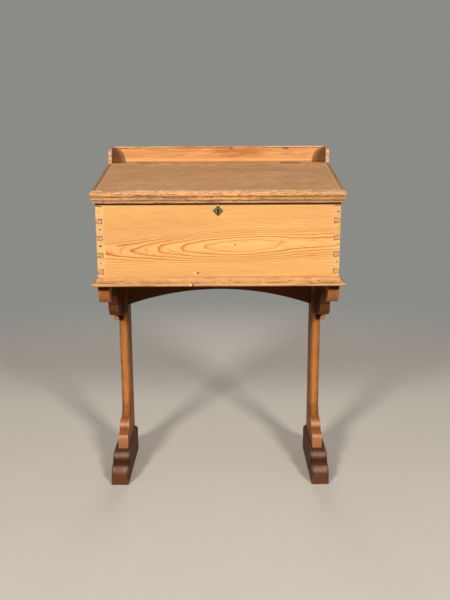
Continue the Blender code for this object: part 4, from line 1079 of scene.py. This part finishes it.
# Stage: a round of pale floor that fades into a grey room.
# Two soft lamps stand in front and a low one behind, and the camera looks down a little at the desk.
FLOOR_REACH = 2.6
FLOOR_SIDES = 96
FLOOR_RINGS = 24
AIM = np.array([0.0, 0.0, 0.6])
pale_floor, tree, shader = start_finish("pale_floor")
place = where(tree)
shade(shader, tint(cloud(place, 2.0, 3.0), (0.86, 0.77, 0.655), (0.93, 0.84, 0.72)), 0.7)
away = result(tree, "VectorMath", {0: place}, "Value", operation="LENGTH")
gone = result(tree, "MixShader", {0: between(away, 1.3, 2.5), 1: Amount(shader.outputs[0]),
                                  2: result(tree, "BsdfTransparent")})
give(tree.nodes["Material Output"].inputs["Surface"], gone)
floor_turn = np.linspace(0.0, 2 * np.pi, FLOOR_SIDES, endpoint=False)[:, None]
floor_out = np.linspace(0.02, FLOOR_REACH, FLOOR_RINGS)[None, :]
floor_place = np.stack((floor_out * np.cos(floor_turn), floor_out * np.sin(floor_turn),
                        0 * floor_turn * floor_out), -1)
floor_faces = grid_faces(FLOOR_SIDES, FLOOR_RINGS)[:, ::-1].tolist()
floor_faces.append((np.arange(FLOOR_SIDES) * FLOOR_RINGS).tolist())
floor = build("floor", (floor_place.reshape(-1, 3), floor_faces, {}), pale_floor)

for title, stands, wide, power in (("left_lamp", (-2.45, -4.80, 3.30), 1.0, 179.0),
                                   ("right_lamp", (2.45, -4.80, 3.30), 1.0, 179.0),
                                   ("back_lamp", (0.0, 5.5, 1.9), 1.6, 75.0)):
    lamp = bpy.data.lights.new(title, "AREA")
    lamp.shape = "SQUARE"
    lamp.size = wide
    lamp.energy = power
    light = put(title, lamp)
    light.location = stands
    light.visible_camera = False
    light.visible_glossy = title != "back_lamp"
    aim = AIM - np.array(stands)
    light.rotation_euler = (math.acos(-aim[2] / np.linalg.norm(aim)), 0.0, math.atan2(-aim[0], aim[1]))

# The room is grey where it is seen or mirrored, and gives little light
world = bpy.data.worlds.new("studio")
world.use_nodes = True
tree = world.node_tree
ambient = tree.nodes["Background"]
give(ambient.inputs["Color"], (0.95, 0.97, 1.0))
give(ambient.inputs["Strength"], 0.07)
room = result(tree, "Background", {"Color": (0.26, 0.262, 0.245), "Strength": 1.0})
ray = by_name(node(tree, "LightPath").outputs)
mirrored = calc("MAXIMUM", ray["Is Glossy Ray"], ray["Is Transmission Ray"])
seen = calc("MAXIMUM", ray["Is Camera Ray"], mirrored)
shown = result(tree, "MixShader", {0: seen, 1: Amount(ambient.outputs[0]), 2: room})
give(tree.nodes["World Output"].inputs["Surface"], shown)
bpy.context.scene.world = world

lens = bpy.data.cameras.new("camera")
lens.sensor_fit = "AUTO"
lens.sensor_width = 36.0
lens.lens = 46.2
camera = put("camera", lens)
camera.location = (0.019, -2.177, 1.05)
camera.rotation_euler = (math.radians(77.0), math.radians(0.25), 0.0)
bpy.context.scene.camera = camera
bpy.context.scene.view_settings.view_transform = "Standard"
